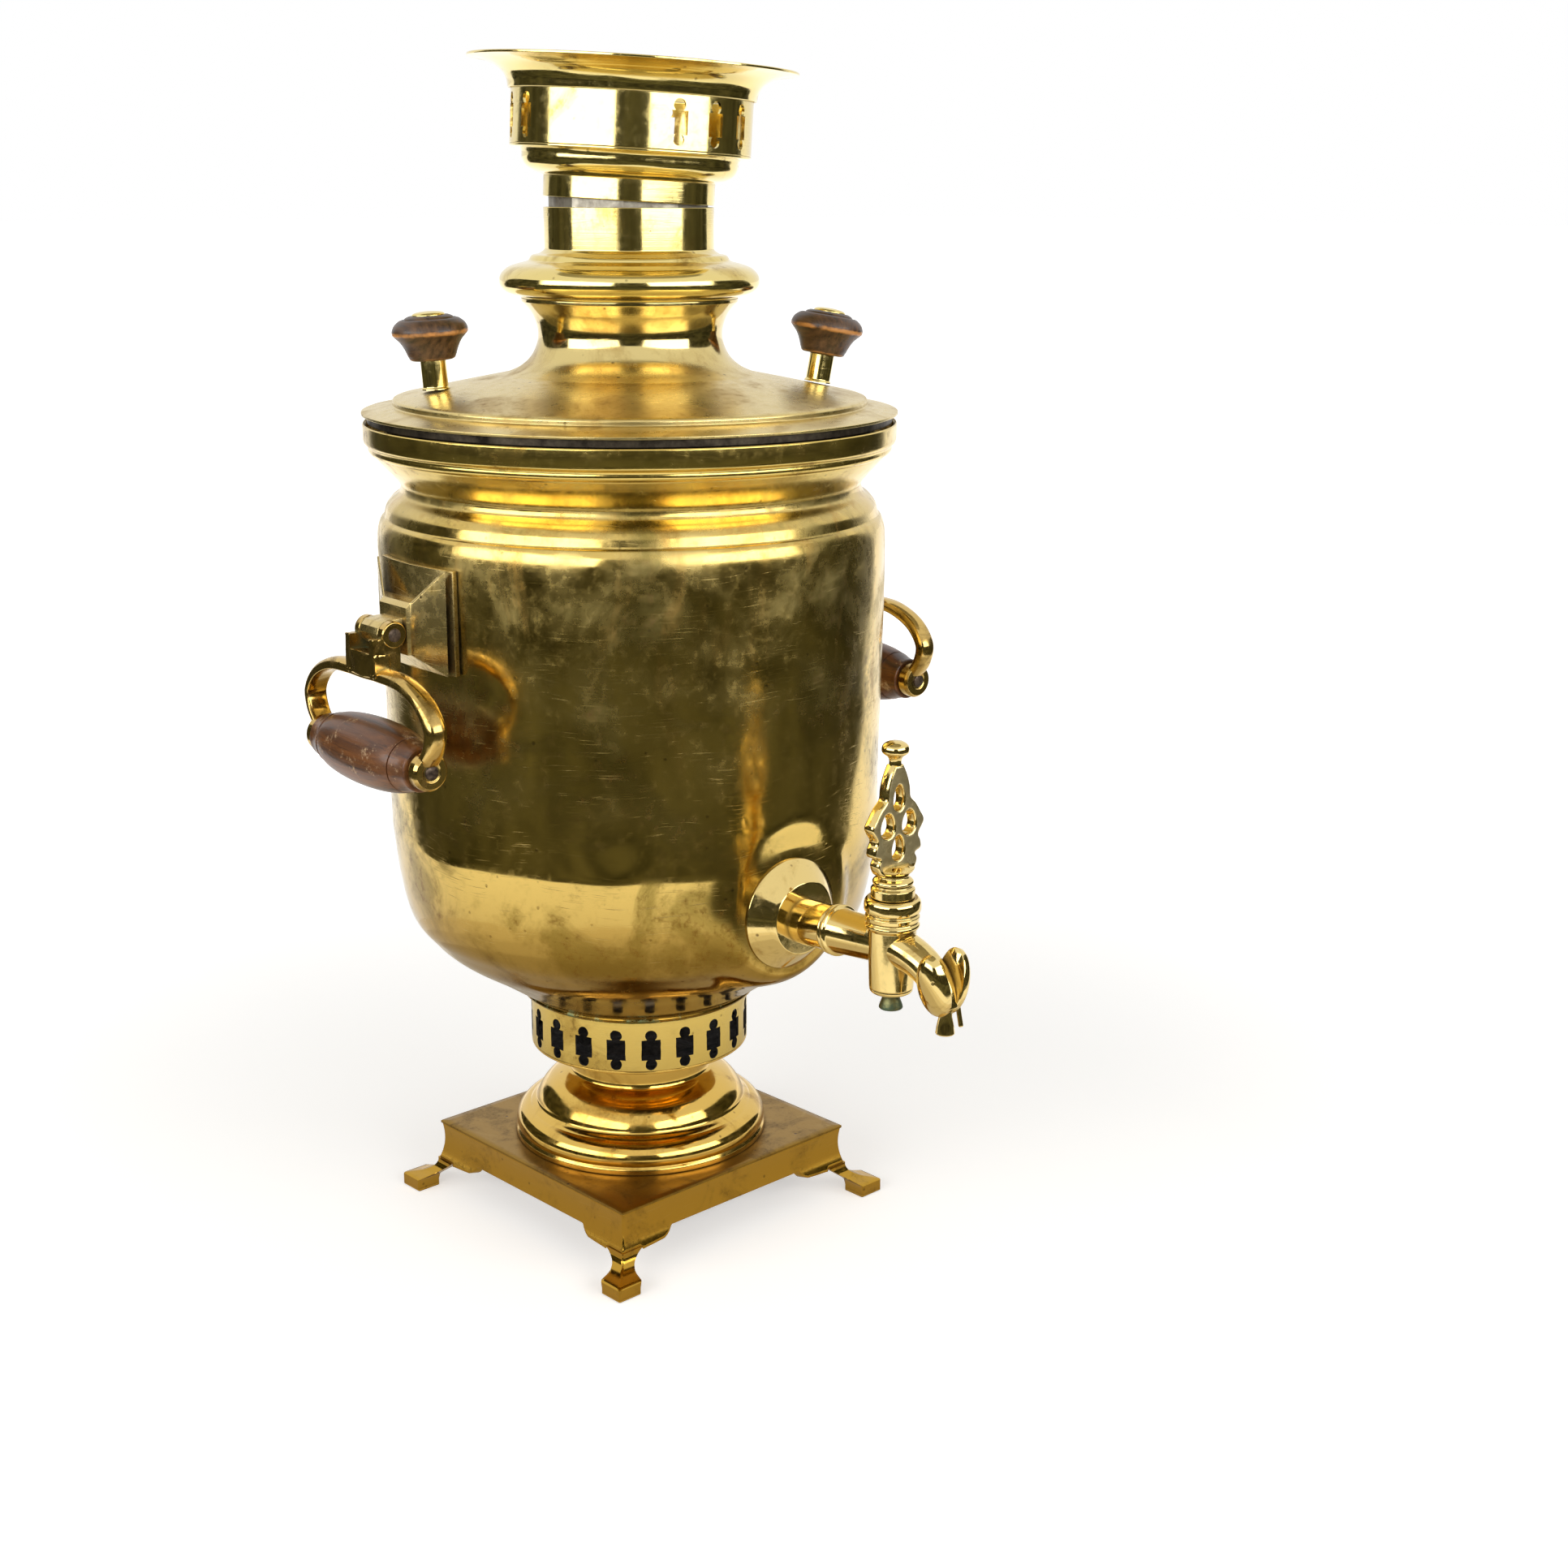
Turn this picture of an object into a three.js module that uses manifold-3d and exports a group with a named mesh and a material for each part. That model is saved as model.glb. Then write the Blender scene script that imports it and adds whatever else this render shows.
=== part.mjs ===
// Samovar: a brass charcoal water heater standing on a square plinth with four feet.
// Millimetres, +Z up, feet on z = 0. The tap points along -Y and the handles along +X and -X.
import * as THREE from 'three';
import { mergeVertices } from 'three/addons/utils/BufferGeometryUtils.js';
import Module from 'manifold-3d';

const wasm = await Module();
wasm.setup();

// Driving sizes. Heights are stacked: each one is counted from the piece that carries it.
// Tables of shares hold [across, up] as shares of the two sizes that the outline runs between.

const sheet = 1.2; // spun brass sheet
const gap = 0.3; // between a piece and the seat or bore that it goes into
const overrun = 3; // how far a cutter runs past what it cuts
const weld = 0.0005; // vertices nearer than this are one vertex
const facets = { body: 24, neck: 18, band: 18, small: 12, pin: 8 }; // sides of a turned piece
const steps = { belly: 7, curve: 4, hidden: 3, edge: 26, strap: 14 }; // stretches of a drawn curve
const fullTurn = 2 * Math.PI;
const quarterTurn = fullTurn / 4;

const plinth = {
  side: 135.4,
  turn: 3.4, // degrees between the plinth's faces and the tap's line
  plateThick: 1.4,
  plateOverhang: 0.5,
  plateHole: 44, // radius of the opening under the pedestal
  skirtHeight: 17.5, // at the corners
  skirtWall: 2.4,
  skirtFlare: 1.9, // how far the skirt's foot stands out past its top
  flareShares: [0, -0.3, -0.25, 0.2, 1], // the skirt's hollow face, from its top to its foot
  archRise: 3.7, // from the ankles up to the straight middle of the lower edge
  bracketReach: 28, // from the corner to the step of the ogee bracket
  bracketDrop: 5.4, // from the straight edge down to the bracket's lowest point
  ankleWidth: 11.3,
  ogeeShares: [[0, 0.45], [0.06, 0.72], [0.2, 0.88], [0.55, 0.91], [0.84, 0.95], [1, 1]],
};

const foot = {
  height: 14.6,
  toeReach: 13.4, // how far the toe stands out past the side of the plate
  // From the floor up: inner face, outer face and height, the faces as shares of the toe's reach.
  sectionShares: [[0.08, 1, 0], [0.08, 1, 0.38], [-0.02, 0.69, 0.47], [-0.31, 0.29, 0.66]],
};

const pedestal = {
  ringRadius: 58.8,
  ringHeight: 2.7,
  ringWall: 3.6,
  torusHeight: 12.7,
  bellHeight: 17.3,
  neckRadius: 32,
  neckHeight: 7.8,
  flangeRise: 5, // from the neck up to the flange's underside
  flangeFillet: 2.4,
  torusShares: [[0.93, 0.09], [0.955, 0.33], [0.9, 0.65], [0.78, 0.88], [0.64, 1]],
  bellShares: [[0.6, 0.075], [0.51, 0.387], [0.34, 0.653], [0.16, 0.803], [0, 1]],
};

const draught = {
  radius: 50.3,
  height: 23.4,
  holes: 20,
  firstHole: 5.2, // degrees from the tap's line
  holeWidth: 8.6,
  headWidth: 4.4,
  headHeight: 3.8,
  tailWidth: 3.2,
  tailHeight: 4.2,
  aboveHoles: 3.9,
  belowHoles: 0.8,
};

const flue = {
  fireRadius: 48,
  pipeRadius: 34.1,
  ledgeWidth: 6.3,
  standOut: 15, // of the pipe above the lid's neck
  taperShares: [[1, 0.304], [0.784, 0.466], [0.309, 0.671], [0, 0.84]],
};

const grate = { clearance: 0.5, thick: 3.4, slots: 5, slotWidth: 5, slotPitch: 11, rim: 6.5 };

const tank = {
  radius: 111.4, // at the shoulder
  wallTaper: 1.4, // how much narrower the foot of the wall is
  baseRadius: 53.4,
  lipHeight: 3.2,
  lipOut: 1.8,
  bellyHeight: 80,
  wallHeight: 118,
  shoulderHeight: 33,
  shoulderIn: 10.9,
  lipShares: [[0, 0], [0.55, 0.31], [0.33, 0.75], [1, 1]],
  bellyShares: [
    [0.1, 0.045], [0.32, 0.147], [0.608, 0.275], [0.763, 0.38], [0.878, 0.492], [0.951, 0.7], [1, 1],
  ],
  shoulderShares: [[0.963, 0.455], [0.835, 0.648], [0.468, 0.818], [0.073, 0.952], [0, 1]],
};

const collar = {
  wall: 1.4,
  flareOut: 15.2,
  flareHeight: 19.7,
  rimHeight: 6.9,
  flareShares: [[0, 0], [0.092, 0.122], [0.467, 0.447], [0.704, 0.68], [0.98, 0.964]],
};

const lid = {
  rimOverhang: 0.3, // of the lid's rim past the collar's
  rimThick: 1.1,
  stepIn: 13.4,
  slopeRise: 2.5, // from the rim up to the step
  stepHeight: 3,
  edgeRound: 1,
  coneRadius: 54.4, // where the cone meets the throat
  coneRise: 9.8,
  waistRadius: 39.8,
  throatHeight: 30.6,
  seamRadius: 46.6,
  seamHeight: 1.5,
  beadRadius: 55.8,
  beadWall: 2.4,
  beadHeight: 14.7,
  colletHeight: 4.8,
  pipeRadius: 36.3,
  pipeHeight: 18,
  bandIn: 2.1, // of the tinned band behind the collar's rim
  bandHeight: 3.4,
  spigotIn: 11.3, // of the spigot inside the collar's rim
  spigotDrop: 13.6,
  turn: -24.5, // degrees that the knobs' line is turned from the handles' line
  throatShares: [[0.527, 0.105], [0.164, 0.281], [0, 0.549], [0.151, 0.817], [0.466, 1]],
  beadShares: [[0.62, 0.048], [0.887, 0.21], [1, 0.483], [0.877, 0.81], [0.528, 1]],
  colletShares: [[0.303, 0.25], [0.138, 0.56], [0.031, 1]],
};

const knob = {
  inFromStep: 18.1, // from the lid's step in to the stalk
  lean: 7, // degrees outward
  stalkRadius: 4.8,
  stalkHeight: 12.4,
  footRadius: 6.4,
  footHeight: 2.4,
  radius: 16,
  height: 18.4,
  capRadius: 6.1,
  capHeight: 2.6,
  sideShares: [[0.34, 0], [0.66, 0.25], [0.95, 0.52], [1, 0.67], [0.925, 0.83], [0.69, 0.95], [0.4, 1]],
  capShares: [[1, 0], [0.86, 0.6], [0.5, 0.93], [0, 1]],
};

const crown = {
  lean: 3, // degrees: the crown sits a little crooked on the pipe
  leanToward: 53.5, // degrees from the tap's line
  lift: 2.6, // of the sleeve above the lid's pipe, which the lean takes up on one side
  play: 1, // between the flue's pipe and the crown's bore
  sleeveWall: 1.3,
  sleeveHeight: 8.8,
  bowlHeight: 10.8,
  ledgeRadius: 51,
  bandHeight: 22.1,
  rimRadius: 70,
  rimOverhang: 1.4,
  trumpetHeight: 12.1,
  holeGroups: 3,
  holesInGroup: 3,
  firstHole: -14.5, // degrees from the tap's line
  holeWidth: 7,
  headWidth: 3.9,
  headHeight: 3.8,
  tailWidth: 3.7,
  tailHeight: 3.4,
  aboveHoles: 2.4,
  belowHoles: 2.5,
  bowlShares: [[0.205, 0.093], [0.48, 0.278], [0.616, 0.63], [0.63, 1]],
  trumpetShares: [[0.074, 0.107], [0.158, 0.42], [0.39, 0.736], [0.705, 0.917], [1, 1]],
};

const tap = {
  aboveFloor: 60.6, // of the tube's root above the tank's floor
  rise: 4.4, // degrees
  shieldBase: 24,
  shieldFace: 15.6,
  shieldLength: 9.4,
  shieldStand: 10, // of the shield's face before the tank's wall
  shieldBack: 15, // how far back the shield's blank reaches before the wall cuts it
  shieldLift: 1, // of the shield's centre above the tube's root
  tubeLength: 53.6, // from the shield's face to the plug's axis
  tubeRoot: 9.6,
  tubeEnd: 8.5,
  tubeTail: 2, // how far the tube reaches inside the wall
  tubeBore: 4.2,
  beadAt: 19,
  beadStand: 1.1,
  beadLength: 4.6,
  barrelBelow: 20.3, // of the barrel below the tube's axis
  barrelAbove: 20.2,
  barrelRadius: 11.5,
  plugBore: 6.6,
  spoutReach: 31.4,
  spoutDrop: 17.5,
  spoutRoot: 7.4,
  spoutEnd: 5.4,
  spoutWall: 2.6,
  cheekBack: 1.4, // of the cheeks' middle behind the spout's end
  cheekDrop: 8.2, // of the cheeks' middle below the tube's axis
  cheekLong: 13.4,
  cheekWide: 7.6,
  cheekThick: 6.4,
  cheekApart: 7.2,
  cheekLean: 14, // degrees that the cheeks lean outward at the top
  nozzleDrop: 1, // of the nozzle's root below the spout's end
  nozzleLength: 10.4,
  nozzleRoot: 2.6,
  nozzleEnd: 3.9,
  nozzleBore: 1.9,
  dripRadius: 1,
  dripLength: 11,
  dripRise: 1.4,
  dripAside: 6.2,
  dripLean: 14, // degrees
  beadShares: [[0, 0], [1, 0.25], [0, 0.5], [1, 0.75], [0, 1]],
  barrelShares: [
    [0.64, 0], [0.76, 0.04], [0.861, 0.677], [0.957, 0.711], [0.974, 0.76], [0.896, 0.81],
    [0.991, 0.859], [1, 0.948], [0.922, 1],
  ],
  spoutShares: [[0.16, 0.03], [0.6, 0.18], [0.873, 0.52], [1, 1]],
};

const plug = {
  tailRadius: 4.9,
  tailWaist: 3.4,
  tailLength: 6.5,
  headRadius: 8.9,
  headHeight: 10,
  headSink: 0.8, // of the key's foot into the head
  headShares: [[1, 0], [1, 0.36], [0.888, 0.44], [0.92, 0.64], [0.74, 0.8], [0.74, 1]],
};

const key = {
  halfWidth: 13.8,
  height: 45,
  thick: 6,
  finialSink: 4.8, // of the finial's stem into the leaf
  finialStem: 2.6,
  finialHeight: 9.8,
  finialRadius: 5.5,
  // Half of the leaf's edge, from its foot up to the finial.
  edgeShares: [
    [0.45, 0], [0.65, 0.036], [0.75, 0.11], [0.71, 0.178], [0.91, 0.213], [0.87, 0.276], [0.81, 0.356],
    [1, 0.453], [0.87, 0.547], [0.7, 0.631], [0.45, 0.698], [0.42, 0.8], [0.3, 0.911], [0.14, 1],
  ],
  // Each opening: the place of its middle and its two half widths.
  openingShares: [[0, 0.26, 0.16, 0.096], [0.39, 0.476, 0.19, 0.093], [-0.39, 0.476, 0.19, 0.093],
    [0, 0.724, 0.16, 0.084]],
  finialShares: [[0.47, 0], [0.47, 0.42], [1, 0.7], [0.9, 0.9], [0, 1]],
};

const hinge = {
  belowShoulder: 18.6, // of the pin below the tank's shoulder
  out: 17.6, // of the pin from the tank's widest line
  radius: 5.6,
  pinRadius: 2,
  pinHalf: 12.2,
  play: 0.2,
};

const bracket = {
  stand: 0.5, // of the flange off the tank's widest line
  flangeThick: 2.4,
  flangeAngle: 14, // degrees to each side
  below: 16.9, // of the flange below the hinge pin
  above: 26.2,
  armHalf: 10.5,
  armRoot: 6.7, // from the flange out to where the arm's sides run straight
  armLength: 8.5,
  armBelow: 9.4,
  armAbove: 10.2,
  armRise: 2, // of the arm's top toward the wall
  wingHalf: 26.6,
  wingThick: 1.8,
  tongueHalf: 7,
};

const bail = {
  earThick: 4,
  earPlay: 0.4,
  blockBelow: 6.8, // from the hinge pin down to the block's top
  blockHeight: 10.6,
  blockIn: 3,
  blockOut: 5.4,
  neckIn: 7.6,
  aside: 5, // of the strap's middle plane outside the hinge pin
  strapWide: 9.6,
  strapThick: 5.4,
  half: 49, // half of the width across the strap
  drop: 50, // from the hinge pin down to the grip's axis
  bossRadius: 8,
  bossIn: 38.6, // from the middle of the grip to the inner face of each boss
  bossThick: 6,
  pathShares: [
    [0, 0.32], [0.245, 0.316], [0.571, 0.336], [0.849, 0.448], [1, 0.628], [0.967, 0.8], [0.87, 0.888],
  ],
  // Half of the strap's section from its crest to its flat side, across and out.
  sectionShares: [[0, 0.5], [0.5, 0.4], [0.87, 0.1], [1, -0.25], [0.8, -0.5]],
};

const grip = {
  middleRadius: 14.8,
  endRadius: 9.6,
  endPlay: 0.4, // between the grip and each boss
  grooveDepth: 0.6,
  boreRadius: 2.4,
  pinRadius: 2,
  pinPast: 0.8, // of the pin past each boss
  // Half of the grip from its end to its middle, with a turned groove between the two tables.
  endShares: [[0, 1], [0.09, 0.97], [0.39, 0.8], [0.63, 0.62]],
  grooveShares: [[0.78, 0.475], [0.81, 0.445], [0.83, 0.415], [0.96, 0.2]],
};

// Finishes.

const brass = { color: '#b08d3a', roughness: 0.28, metalness: 1 };
const tinned = { color: '#8d8d8a', roughness: 0.45, metalness: 0.9 };
const iron = { color: '#3a3430', roughness: 0.65, metalness: 0.7 };
const walnut = { color: '#4a2a18', roughness: 0.5, metalness: 0 };
const ebonised = { color: '#2a1e18', roughness: 0.45, metalness: 0 };

// Heights above the floor, from the feet up.

const degrees = (angle) => THREE.MathUtils.degToRad(angle);

const ankleTop = foot.height;
const plateUnder = ankleTop + plinth.skirtHeight;
const plateTop = plateUnder + plinth.plateThick;
const torusBottom = plateTop + pedestal.ringHeight;
const bellBottom = torusBottom + pedestal.torusHeight;
const neckBottom = bellBottom + pedestal.bellHeight;
const neckTop = neckBottom + pedestal.neckHeight;
const flangeUnder = neckTop + pedestal.flangeRise;
const flangeTop = flangeUnder + sheet;
const draughtTop = flangeTop + draught.height;
const tankFloor = draughtTop + sheet;
const bellyBottom = tankFloor + tank.lipHeight;
const bellyTop = bellyBottom + tank.bellyHeight;
const wallTop = bellyTop + tank.wallHeight;
const mouth = wallTop + tank.shoulderHeight;
const rimBottom = mouth + collar.flareHeight;
const collarTop = rimBottom + collar.rimHeight;
const lidUnder = collarTop + lid.bandHeight;
const lidEdge = lidUnder + lid.rimThick;
const stepBottom = lidEdge + lid.slopeRise;
const stepTop = stepBottom + lid.stepHeight;
const coneTop = stepTop + lid.coneRise;
const throatTop = coneTop + lid.throatHeight;
const seamTop = throatTop + lid.seamHeight;
const beadTop = seamTop + lid.beadHeight;
const colletTop = beadTop + lid.colletHeight;
const pipeTop = colletTop + lid.pipeHeight;
const flueTop = pipeTop + flue.standOut;
const crownBottom = pipeTop + crown.lift;
const sleeveTop = crownBottom + crown.sleeveHeight;
const bowlTop = sleeveTop + crown.bowlHeight;
const ledgeTop = bowlTop + sheet;
const bandTop = ledgeTop + crown.bandHeight;
const rimTop = bandTop + crown.trumpetHeight;
const tubeRoot = tankFloor + tap.aboveFloor;
const tubeAxis = tubeRoot + tap.tubeLength * Math.tan(degrees(tap.rise));
const barrelBottom = tubeAxis - tap.barrelBelow;
const barrelTop = tubeAxis + tap.barrelAbove;
const pinHeight = wallTop - hinge.belowShoulder;

// Distances out from the axis of the body.

const plinthHalf = plinth.side / 2;
const mouthRadius = tank.radius - tank.shoulderIn;
const lipRadius = tank.baseRadius + tank.lipOut;
const collarRadius = mouthRadius + collar.flareOut;
const lidRadius = collarRadius + lid.rimOverhang;
const stepRadius = lidRadius - lid.stepIn;
const ledgeInner = draught.radius - flue.ledgeWidth;
const crownBore = flue.pipeRadius + crown.play;
const sleeveRadius = crownBore + crown.sleeveWall;
const wallAtTap = wallRadiusAt(tubeRoot);
const shieldFront = wallAtTap + tap.shieldStand;
const barrelReach = shieldFront + tap.tubeLength;
const spoutEnd = barrelReach + tap.spoutReach;
const flangeIn = tank.radius + bracket.stand;
const flangeOut = flangeIn + bracket.flangeThick;
const pinReach = tank.radius + hinge.out;
const strapPlane = pinReach + bail.aside;
const gripHeight = pinHeight - bail.drop;

// Geometry helpers.

// A closed three.js surface as a solid that can be cut and joined, faces pointing out.
function solidOf(geometry) {
  const bare = geometry.index ? geometry.toNonIndexed() : geometry.clone();
  const placed = new THREE.BufferGeometry().setAttribute('position', bare.getAttribute('position'));
  const welded = mergeVertices(placed, weld);
  const corners = welded.index.array;
  const kept = [];
  for (let i = 0; i < corners.length; i += 3) {
    const [a, b, c] = [corners[i], corners[i + 1], corners[i + 2]];
    if (a !== b && b !== c && c !== a) kept.push(a, b, c);
  }
  const build = (triangles) => new wasm.Manifold(new wasm.Mesh({
    numProp: 3,
    vertProperties: new Float32Array(welded.getAttribute('position').array),
    triVerts: new Uint32Array(triangles),
  }));
  const solid = build(kept);
  return solid.volume() < 0 ? build(kept.reverse()) : solid;
}

const union = (solids) => solids.reduce((sum, next) => sum.add(next));

// A named mesh from a solid.
function piece(name, solid, finish) {
  const { vertProperties, triVerts, numProp } = solid.getMesh();
  const positions = new Float32Array((vertProperties.length / numProp) * 3);
  for (let i = 0; i * numProp < vertProperties.length; i += 1) {
    positions.set(vertProperties.subarray(i * numProp, i * numProp + 3), i * 3);
  }
  const geometry = new THREE.BufferGeometry();
  geometry.setAttribute('position', new THREE.BufferAttribute(positions, 3));
  geometry.setIndex(Array.from(triVerts));
  geometry.computeVertexNormals();
  const mesh = new THREE.Mesh(geometry, new THREE.MeshStandardMaterial(finish));
  mesh.name = name;
  return mesh;
}

// The points of a table of shares, across from one size to another and up from one to another.
function outline(shares, [acrossFrom, acrossTo], [upFrom, upTo]) {
  return shares.map(([across, up]) => [
    acrossFrom + across * (acrossTo - acrossFrom),
    upFrom + up * (upTo - upFrom),
  ]);
}

// A smooth curve through [a, b] points, given back as such points.
function smooth(points, count) {
  const curve = new THREE.SplineCurve(points.map(([a, b]) => new THREE.Vector2(a, b)));
  return curve.getPoints(count).map(({ x, y }) => [x, y]);
}

// A solid turned about +Z from a closed [radius, height] profile.
function turned(profile, sides) {
  const closed = [...profile, profile[0]].map(([r, z]) => new THREE.Vector2(r, z));
  return solidOf(new THREE.LatheGeometry(closed, sides).rotateX(quarterTurn));
}

// An outline moved inward, square to itself, by the thickness of a wall.
function inward(outer, wall) {
  return outer.map(([r, z], i) => {
    const [r0, z0] = outer[Math.max(i - 1, 0)];
    const [r1, z1] = outer[Math.min(i + 1, outer.length - 1)];
    const length = Math.hypot(r1 - r0, z1 - z0);
    return [r - (wall * (z1 - z0)) / length, z + (wall * (r1 - r0)) / length];
  });
}

// An outline shifted sideways and up.
const shifted = (points, across, up) => points.map(([a, b]) => [a + across, b + up]);

// A solid cylinder along +Z between two heights.
function rod(radius, from, to, sides) {
  return turned([[0, from], [radius, from], [radius, to], [0, to]], sides);
}

// A box from its two opposite corners.
function box([x0, y0, z0], [x1, y1, z1]) {
  const shape = new THREE.BoxGeometry(x1 - x0, y1 - y0, z1 - z0);
  return solidOf(shape.translate((x0 + x1) / 2, (y0 + y1) / 2, (z0 + z1) / 2));
}

// A flat outline of [a, b] points, pushed along +Z by a depth from z = 0.
function slab(points, depth, holes = []) {
  const shape = new THREE.Shape(points.map(([a, b]) => new THREE.Vector2(a, b)));
  shape.holes = holes.map((hole) => new THREE.Path(hole.map(([a, b]) => new THREE.Vector2(a, b))));
  return new THREE.ExtrudeGeometry(shape, { depth, bevelEnabled: false });
}

// A solid through flat rings of equal count, each a list of [x, y, z] points.
function loft(rings) {
  const count = rings[0].length;
  const index = [];
  for (let level = 0; level + 1 < rings.length; level += 1) {
    for (let i = 0; i < count; i += 1) {
      const next = (i + 1) % count;
      const [a, b] = [level * count + i, level * count + next];
      index.push(a, b, b + count, a, b + count, a + count);
    }
  }
  const last = (rings.length - 1) * count;
  for (let i = 1; i + 1 < count; i += 1) {
    index.push(0, i + 1, i);
    index.push(last, last + i, last + i + 1);
  }
  const geometry = new THREE.BufferGeometry();
  geometry.setAttribute('position', new THREE.Float32BufferAttribute(rings.flat().flat(), 3));
  geometry.setIndex(index);
  return solidOf(geometry);
}

// Points of an ellipse about a centre.
function ellipse([cx, cy], [rx, ry], count) {
  return Array.from({ length: count }, (_, i) => {
    const angle = (fullTurn * i) / count;
    return [cx + rx * Math.cos(angle), cy + ry * Math.sin(angle)];
  });
}

// A keyhole outline between two heights: a slot with a round head above and a round tail below.
function keyhole(hole, low, high) {
  const half = hole.holeWidth / 2;
  const slotLow = low + hole.tailHeight;
  const slotHigh = high - hole.headHeight;
  const arc = (width, height, from, start) => [0, 1 / 3, 2 / 3, 1].map((share) => {
    const angle = start + Math.PI * share;
    return [(Math.cos(angle) * width) / 2, from + Math.sin(angle) * height];
  });
  return [
    [half, slotLow], [half, slotHigh],
    ...arc(hole.headWidth, hole.headHeight, slotHigh, 0),
    [-half, slotHigh], [-half, slotLow],
    ...arc(hole.tailWidth, hole.tailHeight, slotLow, Math.PI),
  ];
}

// A cutter that goes from the axis outward through a ring's wall, at an angle from the tap's line.
function wallCutter(hole, reach, angle) {
  const cutter = slab(hole, reach).rotateX(quarterTurn);
  return solidOf(cutter.rotateZ(degrees(angle)));
}

// Square plinth.

function plinthPlate() {
  const square = [
    [-plinthHalf, -plinthHalf], [plinthHalf, -plinthHalf],
    [plinthHalf, plinthHalf], [-plinthHalf, plinthHalf],
  ];
  const hole = ellipse([0, 0], [plinth.plateHole, plinth.plateHole], facets.neck).reverse();
  const plate = slab(square, plinth.plateThick, [hole]);
  return solidOf(plate.translate(0, 0, plateUnder));
}

// The opening under one face of the skirt, seen from its front: level in the middle, then a step and
// an ogee bracket to each ankle.
function skirtOpening() {
  const straight = ankleTop + plinth.archRise;
  const low = straight - plinth.bracketDrop;
  const stepAt = plinthHalf - plinth.bracketReach;
  const ankleAt = plinthHalf - plinth.ankleWidth;
  const ogee = outline(plinth.ogeeShares, [stepAt, ankleAt], [straight, low]);
  const right = [[ankleAt, low - overrun], ...ogee.reverse(), [stepAt, straight]];
  return [...right, ...right.map(([x, z]) => [-x, z]).reverse()];
}

function plinthSkirt() {
  const low = ankleTop + plinth.archRise - plinth.bracketDrop;
  const half = plinthHalf - plinth.plateOverhang;
  const rings = plinth.flareShares.map((share, i) => {
    const reach = half + share * plinth.skirtFlare;
    const z = plateUnder + ((low - plateUnder) * i) / (plinth.flareShares.length - 1);
    return [[-reach, -reach, z], [reach, -reach, z], [reach, reach, z], [-reach, reach, z]];
  });
  const inner = half - plinth.skirtWall;
  const inside = box([-inner, -inner, low - overrun], [inner, inner, plateUnder + overrun]);
  const opening = slab(skirtOpening(), 2 * plinth.side).translate(0, 0, -plinth.side).rotateX(quarterTurn);
  const ankleAt = plinthHalf - plinth.ankleWidth;
  const past = plinthHalf + plinth.skirtFlare + overrun;
  const corner = box([ankleAt, ankleAt, low - overrun], [past, past, ankleTop]);
  const cuts = [inside, solidOf(opening), solidOf(opening.clone().rotateZ(quarterTurn))];
  [0, 90, 180, 270].forEach((turn) => cuts.push(corner.rotate([0, 0, turn])));
  return loft(rings.reverse()).subtract(union(cuts));
}

// A cast foot that sweeps out from the ankle to a square toe, in the corner toward +X and +Y.
function footSolid() {
  const square = (inner, outer, z) => [
    [inner, inner, z], [outer, inner, z], [outer, outer, z], [inner, outer, z],
  ];
  const sections = foot.sectionShares.map(([inner, outer, up]) => square(
    plinthHalf + inner * foot.toeReach,
    plinthHalf + outer * foot.toeReach,
    up * foot.height,
  ));
  const ankleOuter = plinthHalf - plinth.plateOverhang + plinth.skirtFlare;
  return loft([...sections, square(plinthHalf - plinth.ankleWidth, ankleOuter, ankleTop)]);
}

function plinthGroup() {
  const group = new THREE.Group();
  group.add(piece('plinth_plate', plinthPlate(), brass));
  group.add(piece('plinth_skirt', plinthSkirt(), brass));
  ['back_right', 'back_left', 'front_left', 'front_right'].forEach((corner, i) => {
    const mesh = piece(`foot_${corner}`, footSolid(), brass);
    mesh.rotation.z = i * quarterTurn;
    group.add(mesh);
  });
  group.rotation.z = degrees(plinth.turn);
  return group;
}

// Pedestal, draught ring and flue.

function pedestalSolid() {
  const { ringRadius, neckRadius, ringWall, flangeFillet } = pedestal;
  const torus = outline(pedestal.torusShares, [neckRadius, ringRadius], [torusBottom, bellBottom]);
  const bell = outline(pedestal.bellShares, [neckRadius, ringRadius], [bellBottom, neckBottom]);
  return turned([
    [ringRadius, plateTop], [ringRadius, torusBottom],
    ...smooth(torus, steps.curve),
    ...smooth(bell, steps.curve),
    [neckRadius, neckTop],
    [neckRadius + sheet, flangeUnder - sheet], [neckRadius + flangeFillet, flangeUnder],
    [draught.radius, flangeUnder], [draught.radius, flangeTop],
    [neckRadius - sheet, flangeTop],
    ...shifted(smooth(bell, steps.hidden), -sheet, -sheet).reverse(),
    [ringRadius - ringWall, torusBottom + sheet], [ringRadius - ringWall, plateTop],
  ], facets.body);
}

function draughtRing() {
  const inner = draught.radius - sheet;
  const step = 360 / draught.holes;
  const tube = turned([
    [inner, flangeTop], [draught.radius, flangeTop], [draught.radius, draughtTop], [inner, draughtTop],
  ], draught.holes).rotate([0, 0, draught.firstHole - step / 2]);
  const hole = keyhole(draught, flangeTop + draught.belowHoles, draughtTop - draught.aboveHoles);
  const cutters = Array.from({ length: draught.holes }, (_, i) => (
    wallCutter(hole, draught.radius + overrun, draught.firstHole + step * i)
  ));
  return tube.subtract(union(cutters));
}

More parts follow.
